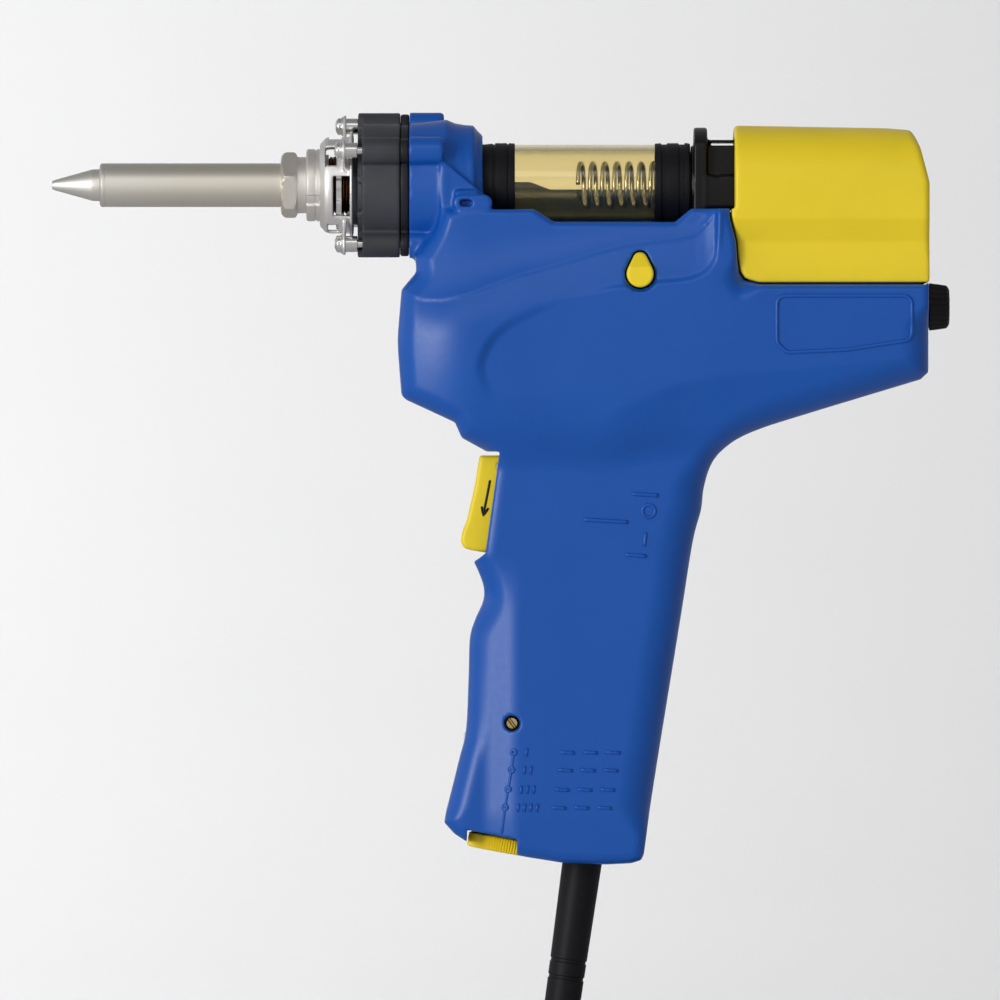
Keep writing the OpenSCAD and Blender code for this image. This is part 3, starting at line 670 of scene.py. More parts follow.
def button_arc(z, radius, start, end, count):
    """An arc of the button's outline round (12.9, z); angles are measured from straight down."""
    return [(12.9 + radius * math.sin(a), z - radius * math.cos(a)) for a in np.linspace(start, end, count)]


TEARDROP = button_arc(86.8, 3.25, -1.95, 1.95, 20) + button_arc(90.3, 1.75, 1.95, 2 * math.pi - 1.95, 10)


def bores(x, y, z):
    """Every opening of the casing."""
    away = np.hypot(y, z - AXIS_Z)
    lug_slot = capsule_distance(x, z, (-29.0, LUG_Z), (-27.6, LUG_Z), 0.8)
    trigger_mouth = outline_distance([(-36, 44.9), (-20.3, 44.9), (-23.7, 20.6), (-24.9, 19.7), (-26, 18.9),
                                      (-36, 18.9)], x, z)
    dial_x, dial_up = leaned(x, z, DIAL_PLACE, DIAL_TILT)
    dial_notch = outline_distance([(-28.1, -44.9), (-16.2, -47.1), (-16.2, -58), (-28.1, -58)], x, z)
    lead_x, lead_up = leaned(x, z, LEAD_FOOT, LEAD_LEAN)
    lead = np.hypot(lead_x, y)
    button = outline_distance(TEARDROP, x, z) - 0.35
    cuts = [
        common(across_trough(y, z) - TROUGH_R, slab(x, -24.4, 40)),
        common(away - 6.1, slab(x, -32, -20)),
        common(lobes(y, z, 1.2), slab(x, -60, -36)),
        common(lug_slot, slab(np.abs(y), 15.4, 30)),
        box_distance(x, y, z, (-60, -12, 19.8), (-13.2, 12, 44.7)),
        trigger_mouth,
        box_distance(x, y, z, (17, -7.4, 25.6), (40, 7.4, 38.4), 0.8),
        common(np.hypot(dial_x, y) - 10.6, np.abs(dial_up) - 2.5),
        dial_notch,
        common(np.hypot(y, z - LAMP_Z) - 1.75, slab(x, -40, -24)),
        common(np.hypot(x - TRIMMER_X, z - TRIMMER_Z) - 1.9, slab(y, -30, -13)),
        common(lead - 5.2, slab(lead_up, -6, 7)),
        common(lead - 6.7, slab(lead_up, 2.2, 6.3)),
        common(np.hypot(y, z - KNOB_Z) - 1.9, 72 - x),
        box_distance(x, y, z, (75.4, -5.6, 70.5), (78.8, 5.6, 90)),
        common(np.hypot(x - 58, y) - 4.4, slab(z, 76, 90)),
        common(button, slab(y, -40, -16)),
        common(button - 0.9, slab(y, -40, -23.1)) + 0.25]
    for px, pz, half in SCREW_POSTS:
        post = np.hypot(x - px, z - pz)
        cuts += [common(post - 1.3, slab(y, 3 - half, 30)), common(post - 2.9, slab(y, half - 4, 30))]
    return union(*cuts)


def posts(x, y, z, solid):
    """Screw posts and the trigger pin's seats inside the casing, and the lips under the cover."""
    post = union(*[np.hypot(x - px, z - pz) - 3.6 for px, pz, _ in SCREW_POSTS])
    seat = common(np.hypot(x - PIN_X, z - PIN_Z) - 2.6, 12.2 - np.abs(y))
    side_lips = box_distance(x, np.abs(y), z, (38.5, 17.2, 82), (79.2, 18.9, 87.5), 0.4)
    rear_lip = box_distance(x, y, z, (78.0, -18, 82), (79.2, 18, 87), 0.3)
    return union(common(union(post, seat), solid + 0.6), side_lips, rear_lip)


def casing_half(x, y, z, side):
    """One shell of the casing: the left one has side -1, the right one 1."""
    solid = casing_solid(x, y, z)
    shell = without(solid, casing_cavity(x, y, z, solid))
    shell = without(union(shell, posts(x, y, z, solid)), bores(x, y, z))
    return common(shell, PARTING - side * y)


for side, node, lowest, highest in ((-1, "housing_left", -25.5, 0.5), (1, "housing_right", -0.5, 25.5)):
    shell = field_piece(node.replace("housing", "casing"), (-45, lowest, -54), (82, highest, 127), 0.42,
                        functools.partial(casing_half, side=side))
    finish_piece(shell, "gun", "blue_plastic", [node])

# ---------------------------------------------------------------- rear cover

COVER_SIDE = [(23.3, 104.5, 0), (23.3, 99.9, 0.5), (20.9, 94.4, 0.6), (21.8, DECK_Z + 0.3, 0.2)]


def cover_section():
    """The cover's section as (y, z) points, from the middle of its roof down one side and up the other."""
    top = 122.6
    wide, wide_z, _ = COVER_SIDE[0]
    roof = []
    for t in np.linspace(0, math.pi / 2, 18):
        roof.append((wide * math.sin(t) ** 0.62, wide_z + (top - wide_z) * math.cos(t) ** 0.75))
    half = roof + round_corners(COVER_SIDE, closed=False)[1:]
    return half + [(-y, z) for y, z in reversed(half)]


COVER_OUTLINE = round_corners([
    (COVER_X, 122.5, 0.8), (77.2, 121.8, 1.6), (79.3, 117, 2), (81.4, 108.6, 2), (81.4, 85.1, 0.3),
    (81.0, DECK_Z + 0.4, 0.2), (41.2, DECK_Z + 0.35, 3.0), (37.8, 85.8, 1), (36.7, 87.4, 1), (36.2, 90.1, 1),
    (35.9, 94.2, 1.5), (34.6, 100.4, 0.8), (34.5, 102.2, 0.4), (COVER_X, 102.5, 0)])


def cover_field(x, y, z):
    """The hollow cover with its front mouth, the tab for the knob's shaft and two ribs under the roof."""
    sag = np.interp(x, [36, 77], [0, 0.75])
    section = outline_distance(cover_section(), y, z)
    outline = outline_distance(COVER_OUTLINE, x, z)
    rim = 0.6 + 0.9 * smooth_step(71, 76, x) * smooth_step(88, 96, z)
    solid = rounded_both(section + sag * smooth_step(100, 120, z), outline, rim)
    hollow = common(section + 1.9, outline + 1.9)
    open_floor = box_distance(x, y, z, (37.3, -19.3, 60), (79.5, 19.3, 97), 0.5)
    mouth = box_distance(x, y, z, (30, -10.5, 60), (38.6, 10.5, 119.4), 0.6)
    shell = without(solid, hollow, open_floor, mouth)
    tab = union(box_distance(x, y, z, (76, -5, 72), (78.2, 5, 88)),
                box_distance(x, y, z, (76, -5, 86), (80, 5, 90)))
    slot = common(capsule_distance(y, z, (0, KNOB_Z), (0, 60), 1.8), slab(x, 74, 79.5))
    ribs = common(union(np.abs(x - 50), np.abs(x - 65)) - 0.8, solid + 0.5, 116.5 - z)
    return union(shell, without(tab, slot), ribs)


cover = field_piece("rear_cover_shell", (34.2, -23.6, 71.5), (81.8, 23.6, 123), 0.5, cover_field)
finish_piece(cover, "cover", "yellow_plastic", ["rear_cover"])

# ---------------------------------------------------------------- release slide and its guide

def slide_field(x, y, z):
    """The thumb tab over a hooked foot, with a hub disc that presses on the filter."""
    away = np.hypot(y, z - AXIS_Z)
    lean = (z - 101) * 0.012
    tab = rounded_both(rounded_both(away - 13.7, np.abs(y) - 9.6, 0.8), slab(x - lean, 25.6, 28.8), 0.5)
    tab = common(tab, slab(z, 101.4, 122.4))
    hub = common(away - 9.4, slab(x, 25.15, 26))
    groove = common(np.abs(away - 6.4) - 0.5, slab(x, 25.2, 27))
    body = box_distance(x, y, z, (28, -7, 110.2), (38, 7, 117.6), 0.5)
    rail = box_distance(x, y, z, (28, -7, 118.35), (38, 7, 118.9), 0.2)
    post = box_distance(x, y, z, (28, -2, 117), (30, 2, 118.8), 0.2)
    hook = box_distance(x, y, z, (28, -9.6, 102.3), (37.8, 9.6, 110.6), 1.1)
    notch = capsule_distance(x, z, (31.2, 111.6), (31.2, 112.6), 1.6)
    hook = smooth_max(hook, -common(notch, 7.4 - np.abs(y)), 0.4)
    hook = smooth_max(hook, -capsule_distance(x, z, (33, 100.4), (40, 102.2), 1.3), 0.5)
    solid = smooth_min(smooth_min(union(body, rail, post), hook, 0.4), tab, 0.7)
    waist = common(capsule_distance(x, z, (24.6, 109.2), (25.4, 109.2), 0.55), 8.6 - np.abs(y))
    solid = union(common(without(solid, waist), slab(x, 25.6, 38)), hub)
    return without(solid, away - 2.6, groove)


slide = field_piece("release_slide_grip", (24.8, -10.5, 98), (38.6, 10.5, 123), 0.3, slide_field)
finish_piece(slide, "filter_release", "black_plastic", ["release_slide"])

# ---------------------------------------------------------------- controls

TRIGGER_SHAPE = round_corners([
    (-25.1, 43.9, 0.6), (-26.3, 36.5, 20), (-28, 29, 8), (-29.3, 25.4, 2), (-29.6, 23.4, 1.2), (-28.8, 21.9, 1),
    (-26.5, 21.3, 1), (-23.8, 20.9, 0.5), (-18.5, 22.5, 0.8), (-17.2, 43.9, 0.8)])


def trigger_field(x, y, z):
    """A hollow lever with a rib for the switch's plunger and a bore for its pin."""
    outline = outline_distance(TRIGGER_SHAPE, x, z)
    solid = rounded_both(outline, np.abs(y) - 11.5, 0.9)
    solid = union(solid, box_distance(x, y, z, (-18.6, -2, 29.5), (-15.5, 2, 32.5), 0.3))
    from_pin = np.hypot(x - PIN_X, z - PIN_Z)
    hollow = common(outline + 1.8, np.abs(y) - 9.6, 3.2 - np.abs(z - 31), 25 - z, 2.6 - from_pin)
    return without(solid, hollow, from_pin - 1.32)


trigger = field_piece("trigger_lever", (-30, -12, 20), (-15, 12, 45), 0.36, trigger_field)
finish_piece(trigger, "trigger", "yellow_plastic", ["trigger"])


def button_field(x, y, z):
    """The teardrop, its outer face sloping inwards towards the point."""
    outline = outline_distance(TEARDROP, x, z)
    face = np.interp(z, [84, 88.4, 92.4], [-24.9, -24.9, -21.6])
    return rounded_both(outline + 0.05, common(face - y, y + 18), 0.6)


button = field_piece("teardrop_button", (9, -25.2, 83), (17, -17.6, 93), 0.2, button_field)
finish_piece(button, "button", "yellow_plastic", ["release_button"])


def rocker_field(x, y, z):
    """The rocker on its axle, with a bar and a ring sunk in its face."""
    outline = outline_distance([(19.6, 26.6), (24.8, 26.4), (25.2, 31.2), (25.4, 32.4), (26.6, 36.6),
                                (21, 37.4)], x, z)
    solid = rounded_both(outline, np.abs(y) - 6.9, 0.6)
    bar = box_distance(x, y, z, (26.0, -0.5, 33.6), (28, 0.5, 36.2), 0.2)
    ring = common(np.abs(np.hypot(y, z - 29) - 1.3) - 0.3, 24.8 - x)
    axle = common(np.hypot(x - 21.5, z - 32) - 1.2, np.abs(y) - 7.3)
    return union(without(solid, bar, ring), axle)


rocker = field_piece("rocker_cap", (19, -7.6, 26), (27.2, 7.6, 38), 0.25, rocker_field)
finish_piece(rocker, "rocker", "black_plastic", ["power_rocker"])

# temperature dial: a knurled disc whose rim shows in the foot's notch
DIAL_TEETH = 98


def dial_ripple(x, radius, angle):
    if radius < 9.3 or abs(x) > 1.5:
        return 0
    return 0.16 * math.cos(DIAL_TEETH * angle)


dial = lathe("thumb_dial", [(-1.8, 1.6), (-1.8, 9.4), (-1.45, 9.82), (0, 9.84), (1.45, 9.82), (1.8, 9.4),
                            (1.8, 5), (1.0, 4.6), (1.0, 1.6)], 4 * DIAL_TEETH, (0, 0), dial_ripple)
stand_up(dial, DIAL_PLACE, DIAL_TILT)
finish_piece(dial, "dial", "yellow_plastic", ["temperature_dial"], sharp=40)


def knob_ripple(x, radius, angle):
    if radius < 4.5 or x > 86.05 or x < 81.9:
        return 0
    return 0.2 * math.cos(24 * angle)


knob = lathe("lock_knob", [(81.6, 1.6), (81.6, 4.6), (81.8, 5.0), (82.0, 5.45), (84, 5.2), (86, 4.9),
                           (86.5, 4.5), (86.7, 4.0), (86.7, 3.0), (86.4, 2.8), (86.4, 0.01), (85, 0.01),
                           (85, 1.6)], 144, (0, KNOB_Z), knob_ripple)
finish_piece(knob, "cover_lock", "black_plastic", ["cover_knob"], sharp=45)

# ---------------------------------------------------------------- solder filter

front_cap = turned("filter_cap_front", [
    (-25, 6.5, 0), (-25, 9.6, 0.4), (-22, 9.9, 0.2), (-21.9, 9.6, 0.1), (-21.5, 9.6, 0.1), (-21.4, 10, 0.2),
    (-18.6, 10, 0.2), (-18.5, 9.75, 0.1), (-18.2, 9.75, 0.1), (-18.1, 10, 0.1), (-16.7, 9.95, 0.3),
    (-16.7, 9.65, 0)], 9.65)
front_cap_floor = lathe("filter_cap_floor", [(-25, 2.2), (-25, 6.6), (-24.6, 7), (-24.6, 9.7), (-21.7, 9.7),
                                             (-21.7, 2.2)], 64)
front_seal = joined("filter_front_seal", [front_cap, front_cap_floor])
finish_piece(front_seal, "cartridge", "rubber_black", ["filter_front_cap"], sharp=35)

tube_wall = lathe("glass_tube", [(-21.6, 9.6), (21.6, 9.6), (21.7, 9.5), (21.7, 8.3), (21.6, 8.2), (-21.6, 8.2),
                                 (-21.7, 8.3), (-21.7, 9.5)], 128)
finish_piece(tube_wall, "cartridge", "clear_amber", ["filter_tube"], sharp=35)

rear_cap = turned("filter_cap_rear", [
    (16.6, 9.65, 0), (16.6, 9.9, 0.1), (18.1, 10, 0.2), (18.2, 9.7, 0.1), (19.4, 9.7, 0.1), (19.5, 10, 0.2),
    (22.2, 10, 0.2), (22.4, 9.5, 0.1), (23.5, 9.5, 0.1), (23.7, 10, 0.2), (24.7, 10, 0.3), (25, 9.6, 0.2),
    (25, 6, 0)], 9.65)
rear_cap_floor = lathe("filter_cap_rear_floor", [(21.7, 2.2), (21.7, 9.7), (24.6, 9.7), (24.6, 6.6), (25, 6.2),
                                                 (25, 2.2)], 64)
rear_seal = joined("filter_rear_seal", [rear_cap, rear_cap_floor])
finish_piece(rear_seal, "cartridge", "rubber_black", ["filter_rear_cap"], sharp=35)

TRAP_TURNS = 6.5
trap_route = []
for step in range(int(TRAP_TURNS * 40) + 1):
    a = 2 * math.pi * step / 40
    forward = (a - 0.4 * math.sin(2 * a)) / (2 * math.pi * TRAP_TURNS)
    trap_route.append(round_axis(-1.7 + 18.7 * forward, 5.2, a))
trap = tube("solder_trap_wire", trap_route, 0.55, 12)
finish_piece(trap, "cartridge", "bright_steel", ["solder_trap_coil"])

pad = lathe("filter_disc", [(17.8, 0.01), (17.7, 4), (17.8, 7.9), (18, 8.1), (21.4, 8.12), (21.6, 7.9),
                            (21.6, 0.01)], 64,
            ripple=lambda x, radius, angle: 0.04 * math.sin(9 * angle + x * 3) if radius > 1 else 0)
finish_piece(pad, "cartridge", "filter_felt", ["filter_pad"])

seal = turned("nose_seal_ring", [(-29, 2.1, 0), (-29, 5.6, 0.3), (-26.6, 5.9, 0.4), (-25.4, 5.2, 0.4),
                                 (-25.4, 2.1, 0)], 2.1, segments=64)
finish_piece(seal, "gun", "silicone", ["nose_seal"])

# ---------------------------------------------------------------- heated front end

nozzle = lathe("nozzle_tip", round_corners([
    (-126.9, 0.5), (-126.9, 0.95, 0.15), (-126.2, 1.25, 1), (-117.4, 3.72, 1.2), (-115.5, 3.85, 0.1),
    (-115.5, 3.0), (-100, 3.0), (-100, 0.5)]), 96)
finish_piece(nozzle, "gun", "stainless", ["nozzle"], sharp=30)

pipe = lathe("heater_tube", round_corners([
    (-115.5, 3.1), (-115.5, 4.75, 0.1), (-115.1, 5.2, 0.2), (-114.4, 5.2), (-114.3, 5.12), (-114.2, 5.2),
    (-72.4, 5.2), (-72.3, 5.0), (-45, 5.0), (-45, 3.1)]), 128)
finish_piece(pipe, "gun", "stainless", ["heater_pipe"], sharp=30)


def hex_cut(x, radius, angle):
    """Takes a round blank down to the pipe nut's six flats, 14 mm across."""
    if radius < 6.9 or x > -68.4:
        return 0
    turn = (-angle + math.radians(14) + math.pi * 2) % (math.pi / 3)
    flat = 7.0 / math.cos(turn - math.pi / 6)
    return min(0, flat - radius)


nut = lathe("pipe_union_nut", [
    (-72.4, 5.05), (-72.4, 6.4), (-72.2, 7.0), (-71.9, 7.5), (-71.5, 7.9), (-71.0, 8.08), (-69.4, 8.08),
    (-69.0, 7.9), (-68.7, 7.5), (-68.5, 7.0), (-68.5, 6.85), (-68.3, 6.7), (-66.4, 6.7), (-66.3, 6.6),
    (-66.3, 5.05)], 180, ripple=hex_cut)
finish_piece(nut, "gun", "stainless", ["pipe_nut"], sharp=25)

bush = lathe("heater_collar", round_corners([
    (-66.3, 5.05), (-66.3, 8.3, 0.2), (-65.9, 8.6, 0.2), (-64.3, 8.6, 0.1), (-64.2, 8.3, 0.1), (-64, 8.3, 0.1),
    (-63.9, 8.6, 0.1), (-63.1, 8.6, 0.1), (-63.1, 7.2), (-61, 7.2), (-61, 5.05)]), 128,
    ripple=lambda x, radius, angle: -0.5 if radius > 8 and abs(math.sin(angle * 1.5 + 0.7)) < 0.22 else 0)
finish_piece(bush, "gun", "stainless", ["heater_bush"], sharp=30)


CAGE_WINDOWS = ((0.40, 0.92, -61.7, -58.9), (-0.74, 0.17, -59.9, -55.9), (1.25, 1.9, -61.0, -58.0),
                (-1.45, -0.98, -61.2, -58.6))                   # angles from, to; x from, to


def cage_field(x, y, z):
    """The sheet cage: a skin with windows, a front face and a flange with an arm to each screw."""
    away = np.hypot(y, z - AXIS_Z)
    outer = np.interp(x, [-63.1, -62.7, -61.9, -61.2, -60.4], [9.3, 10.2, 11.1, 11.45, 11.5])
    skin = common(away - outer, outer - 0.8 - away, slab(x, -63.1, -55.2))
    face = common(away - 9.9, 7.25 - away, slab(x, -63.1, -62.4))
    arms = union(*[capsule_distance(y, z, round_axis(0, 10, turn)[1:],
                                    round_axis(0, SCREW_REACH, turn)[1:], 2.6) for turn in SCREW_ANGLES])
    flange = common(arms, 10.8 - away, slab(x, -57.6, -56.9))
    rim = common(away - 12.9, 10.8 - away, slab(x, -55.9, -55.2))
    sheet = smooth_min(union(skin, face), union(flange, rim), 0.5)
    angle = np.arctan2(z - AXIS_Z, np.abs(y))
    windows = [common(slab(angle, lo, hi) * 11, slab(x, x0, x1), 9.5 - away)
               for lo, hi, x0, x1 in CAGE_WINDOWS]
    return without(sheet, lobes(y, z, 1.1), *windows)


cage = field_piece("cage_sheet", (-63.5, -17.5, 89.5), (-54.8, 19, 127), 0.27, cage_field)
finish_piece(cage, "gun", "stainless", ["heater_cage"])

baffle = lathe("baffle_disc", [(-59.2, 7), (-59.2, 10.4), (-59.1, 10.55), (-57.9, 10.55), (-57.8, 10.4),
                               (-57.8, 7)], 96,
               ripple=lambda x, radius, angle: -0.35 if radius > 10 and math.sin(angle * 12) > 0.86 else 0)
finish_piece(baffle, "gun", "bright_steel", ["heat_baffle"], sharp=30)

core = lathe("element_core", [(-61, 5.05), (-61, 6.3), (-46, 6.3), (-46, 5.05)], 64)
WIRE_STEPS, STEPS_PER_TURN = 162, 30
coil_route = [round_axis(-60.6 + 4.3 * s / WIRE_STEPS, 6.45, 2 * math.pi * s / STEPS_PER_TURN)
              for s in range(WIRE_STEPS + 1)]
element = joined("element_coil", [core, tube("element_wire", coil_route, 0.36, 8)])
finish_piece(element, "gun", "windings", ["heating_element"])

suction = lathe("suction_tube", [(-99.9, 1.4), (-99.9, 1.9), (-99.8, 2), (-25.6, 2), (-25.5, 1.9),
                                 (-25.5, 1.4)], 48)
finish_piece(suction, "gun", "stainless", ["suction_pipe"], sharp=30)


def screw_field(x, y, z):
    """A screw on the axis Y 0, Z 0: a domed head with a cross in it, a washer and a shank."""
    away = np.hypot(y, z)
    head = common(away - 2.0, slab(x, -59.5, -57.5), np.hypot(x + 56.6, away) - 3.05)
    cross = union(common(np.abs(y) - 0.28, np.abs(z) - 1.2), common(np.abs(z) - 0.28, np.abs(y) - 1.2))
    head = without(head, common(cross, x + 58.7))
    washer = common(away - 2.3, 1.0 - away, slab(x, -57.95, -57.5))
    return union(head, washer, common(away - 1.0, slab(x, -58, -37)))


screw = field_piece("cage_screw", (-59.8, -2.5, -2.5), (-36.8, 2.5, 2.5), 0.17, screw_field)
screws = []
for angle in SCREW_ANGLES:
    copy = bpy.data.objects.new("cage_screw_copy", screw.data.copy())
    copy.data.transform(Matrix.Translation(Vector(round_axis(0, SCREW_REACH, angle)) * MM)
                        @ Matrix.Rotation(angle * 1.7, 4, "X"))
    screws.append(copy)
screw_set = joined("cage_screw_set", screws)
finish_piece(screw_set, "gun", "bright_steel", ["cage_screws"])

spacer_profile = [(-57, 1.1), (-57, 1.75), (-56.9, 1.9), (-54.2, 1.9), (-54.1, 1.75), (-54.1, 1.1)]
spacers = [lathe("spacer", spacer_profile, 32, round_axis(0, SCREW_REACH, angle)[1:]) for angle in SCREW_ANGLES]
spacer_set = joined("cage_spacer_set", spacers)
finish_piece(spacer_set, "gun", "bright_steel", ["cage_spacers"], sharp=30)


def block_field(x, y, z, x0, x1, grow, bore):
    """A thick plate with four lobes and their screw holes, from x0 to x1, with a round bore."""
    away = np.hypot(y, z - AXIS_Z)
    section = smooth_min(away - 14.6, lobes(y, z, 3.2), 0.8) - grow
    return without(rounded_both(section, slab(x, x0, x1), 0.35), away - bore, lobes(y, z, 1.1))


def insulator_field(x, y, z):
    """The block with its front sleeve and the notches round its front edge."""
    away = np.hypot(y, z - AXIS_Z)
    solid = block_field(x, y, z, -54.1, -44, 0, 7.4)
    sleeve = common(away - 9.4, 7.4 - away, slab(x, -55.7, -53.5))
    angle = np.arctan2(z - AXIS_Z, y)
    notches = common(12.4 - away, x + 52.9, 0.30 - np.abs(np.sin(angle * 5 + 0.4)))
    return without(union(solid, sleeve), notches)


block = field_piece("insulator_body", (-56, -17.5, 90), (-43.7, 19, 126.5), 0.36, insulator_field)
finish_piece(block, "gun", "phenolic", ["insulator_block"])
plate = field_piece("insulator_flange", (-44.3, -18, 89.5), (-41.6, 19.5, 127), 0.36,
                    lambda x, y, z: block_field(x, y, z, -43.95, -41.85, -0.3, 2.4))
# The flange plate gets a darker phenolic than the block: painted shade for the strip where the plate sits back
# between block and nose.
finish_piece(plate, "gun", "phenolic", ["insulator_plate"],
             material=plastic("phenolic_plate_painted_shade", (0.012, 0.013, 0.016), 0.5, 0.00003, 0.1, 0.3))

# ---------------------------------------------------------------- small pieces in the handle

lens_piece = lathe("lamp_window", [(-28.9, 0.01), (-28.9, 1.0), (-28.7, 1.45), (-28.5, 1.6), (-25.4, 1.6),
                                   (-25.4, 2.6), (-24.6, 2.6), (-24.6, 0.01)], 48, (0, LAMP_Z))
finish_piece(lens_piece, "gun", "lens_clear", ["lamp_lens"], sharp=40)


def trimmer_field(x, y, z):
    """A round disc with a slanted screwdriver slot."""
    dx, dz = x - TRIMMER_X, z - TRIMMER_Z
    disc = rounded_both(np.hypot(dx, dz) - 1.5, slab(y, -13.2, -10.2), 0.2)
    return without(disc, common(np.abs(dx * 0.8 + dz * 0.6) - 0.28, y + 12.4))


trimmer = field_piece("trimmer_screw", (-19.2, -13.5, -21.4), (-15.6, -10, -17.8), 0.13, trimmer_field)
finish_piece(trimmer, "trimmer", "brass", ["trimmer_rotor"])

post_screws = []
for px, pz, half in SCREW_POSTS:
    length = 2 * half - 9
    shank = lathe("post_screw", [(-2, 0.01), (-2, 1.0), (-1.7, 1.9), (-1.0, 2.5), (-0.6, 2.6), (0, 2.6),
                                 (0, 1.2), (length - 0.2, 1.2), (length, 0.9), (length, 0.01)], 40, (0, 0))
    shank.data.transform(Matrix.Translation(Vector((px, half - 4, pz)) * MM)
                         @ Matrix.Rotation(math.radians(-90), 4, "Z"))
    outward(shank)
    post_screws.append(shank)
post_screw_set = joined("casing_screw_set", post_screws)
finish_piece(post_screw_set, "gun", "screw_black", ["housing_screws"], sharp=35)

# ---------------------------------------------------------------- marks moulded on the casing

MARK_STEP = 0.8                              # spacing of a line's points along it


def circle(x, z, radius, count):
    """Points round a circle in the side view."""
    return [(x + radius * math.cos(a), z + radius * math.sin(a))
            for a in np.linspace(0, 2 * math.pi, count + 1)[:-1]]


def mark_line(name, points, radius, height=None, closed=False):
    """A raised line through (x, z) points, on the casing's left side or at a height of its own."""
    dense = []
    loop = points + [points[0]] if closed else points
    for (ax, az), (bx, bz) in zip(loop, loop[1:]):
        count = max(1, round(math.hypot(bx - ax, bz - az) / MARK_STEP))
        dense += [(ax + (bx - ax) * k / count, az + (bz - az) * k / count) for k in range(count)]
    if not closed:
        dense.append(loop[-1])
    xs, zs = np.array([p[0] for p in dense]), np.array([p[1] for p in dense])
    side = surface_side(xs, zs) if height is None else np.full(len(xs), height)
    route = [(x, -y + 0.04, z) for x, y, z in zip(xs, side, zs)]
    return tube(name, route, radius, 8, closed)


def surface_side(xs, zs):
    """Half width of the finished casing at points of its left side."""
    flat = side_half(xs, zs)
    outline = outline_distance(BODY_OUTLINE, xs, zs)
    radius = edge_radius(xs, zs)
    over = np.clip(outline + radius, 0, radius)
    return flat - radius + np.sqrt(radius ** 2 - over ** 2)


marks = [mark_line("off_ring", circle(15, 30.7, 1.5, 23), 0.42, closed=True),
         mark_line("off_stroke", [(11.0, 34.8), (17.2, 34.4)], 0.5),
         mark_line("on_bar", [(14.3, 25.6), (13.9, 22.4)], 0.45),
         mark_line("on_stroke", [(9.4, 20.4), (14.4, 20.0)], 0.5),
         mark_line("switch_stroke", [(-0.4, 28.7), (10.0, 28.1)], 0.5)]
scale_rows = [(-17.0, -26.4, 1), (-17.5, -30.6, 2), (-18.3, -35.2, 3), (-19.0, -39.5, 4)]   # x, z, ticks
for x, z, count in scale_rows:
    marks.append(mark_line("scale_dot", circle(x, z, 0.55, 9), 0.42, closed=True))
    for k in range(count):
        tick = x + 2.9 + 1.5 * k
        marks.append(mark_line("scale_tick", [(tick + 0.3, z + 0.9), (tick, z - 1.0)], 0.38))
    for k in range(3):
        start = x + 11 + 5.4 * k
        marks.append(mark_line("scale_dash", [(start, z), (start + 3.4, z - 0.2)], 0.45))
marks.append(mark_line("scale_line", [(x, z) for x, z, _ in scale_rows] + [(-19.8, -45.6)], 0.34))
plaque = round_corners([(45.2, 81.6, 2), (77.1, 81.6, 2), (77.1, 71.2, 2), (62, 68.9, 2), (47.5, 68.2, 2),
                        (45.2, 70.6, 2)])
marks.append(mark_line("plaque_frame", plaque, 0.5, closed=True))
mark_set = joined("moulded_marks", marks)
finish_piece(mark_set, "gun", "blue_plastic")

trigger_mark = mark_line("trigger_mark", [(-22.6, 38), (-24.2, 29.8)], 0.3, height=11.5)
trigger_tip = mark_line("trigger_arrow", [(-23.0, 31.4), (-24.2, 29.6), (-24.6, 31.8)], 0.3, height=11.5)
trigger_marks = joined("trigger_symbol", [trigger_mark, trigger_tip])
finish_piece(trigger_marks, "trigger", "black_plastic")

# ---------------------------------------------------------------- mains lead

CORD_R = 3.5
COIL_X, COIL_Z = 34.5, -136
PLUG_END = (25.8, -13, -168.4)               # where the lead enters the plug
relief = lathe("lead_relief", round_corners([
    (-40, 3.5), (-40, 3.95, 0.2), (-39.4, 4.2, 0.3), (-28, 4.32), (-27.8, 4.1), (-27.2, 4.1), (-27, 4.34),
    (-24, 4.36), (-23.8, 4.15), (-23.2, 4.15), (-23, 4.38), (0, 4.7), (2.4, 4.7), (2.4, 6.4, 0.2),
    (6, 6.4, 0.2), (6, 3.5)]), 64, (0, 0))
stand_up(relief, LEAD_FOOT, LEAD_LEAN)
outward(relief)
finish_piece(relief, "gun", "rubber_black", ["strain_relief"], sharp=35)


def coil_route_points():
    """The lead from the strain relief, through seven turns of coil, to the plug."""
    lead = [(-6.3, 0, -92.75), (-6.9, 0, -98), (-7, 0, -104), (-6.6, 0, -112), (-6, 0, -122), (-6, 0, -130)]
    outer, inner, steps, crossing = 40.5, 33.5, 36, 9
    stations = [(outer, y) for y in (0, 7, 14, 21)] + [(inner, y) for y in (21, 14, 7, 0)]
    turns = []
    for (r0, y0), (r1, y1) in zip(stations, stations[1:]):
        for step in range(steps):
            angle = math.pi + 2 * math.pi * step / steps
            t = float(smooth_step(steps - crossing, steps, step))
            r = r0 + (r1 - r0) * t
            turns.append((COIL_X + r * math.cos(angle), y0 + (y1 - y0) * t, COIL_Z + r * math.sin(angle)))
    turns.append((COIL_X - inner, 0, COIL_Z))
    tail = [(2.1, -4.9, -144.7), (5.5, -8, -152.8), (10.8, -11, -159.7), (17.8, -12.8, -165), PLUG_END]
    return lead, turns, tail


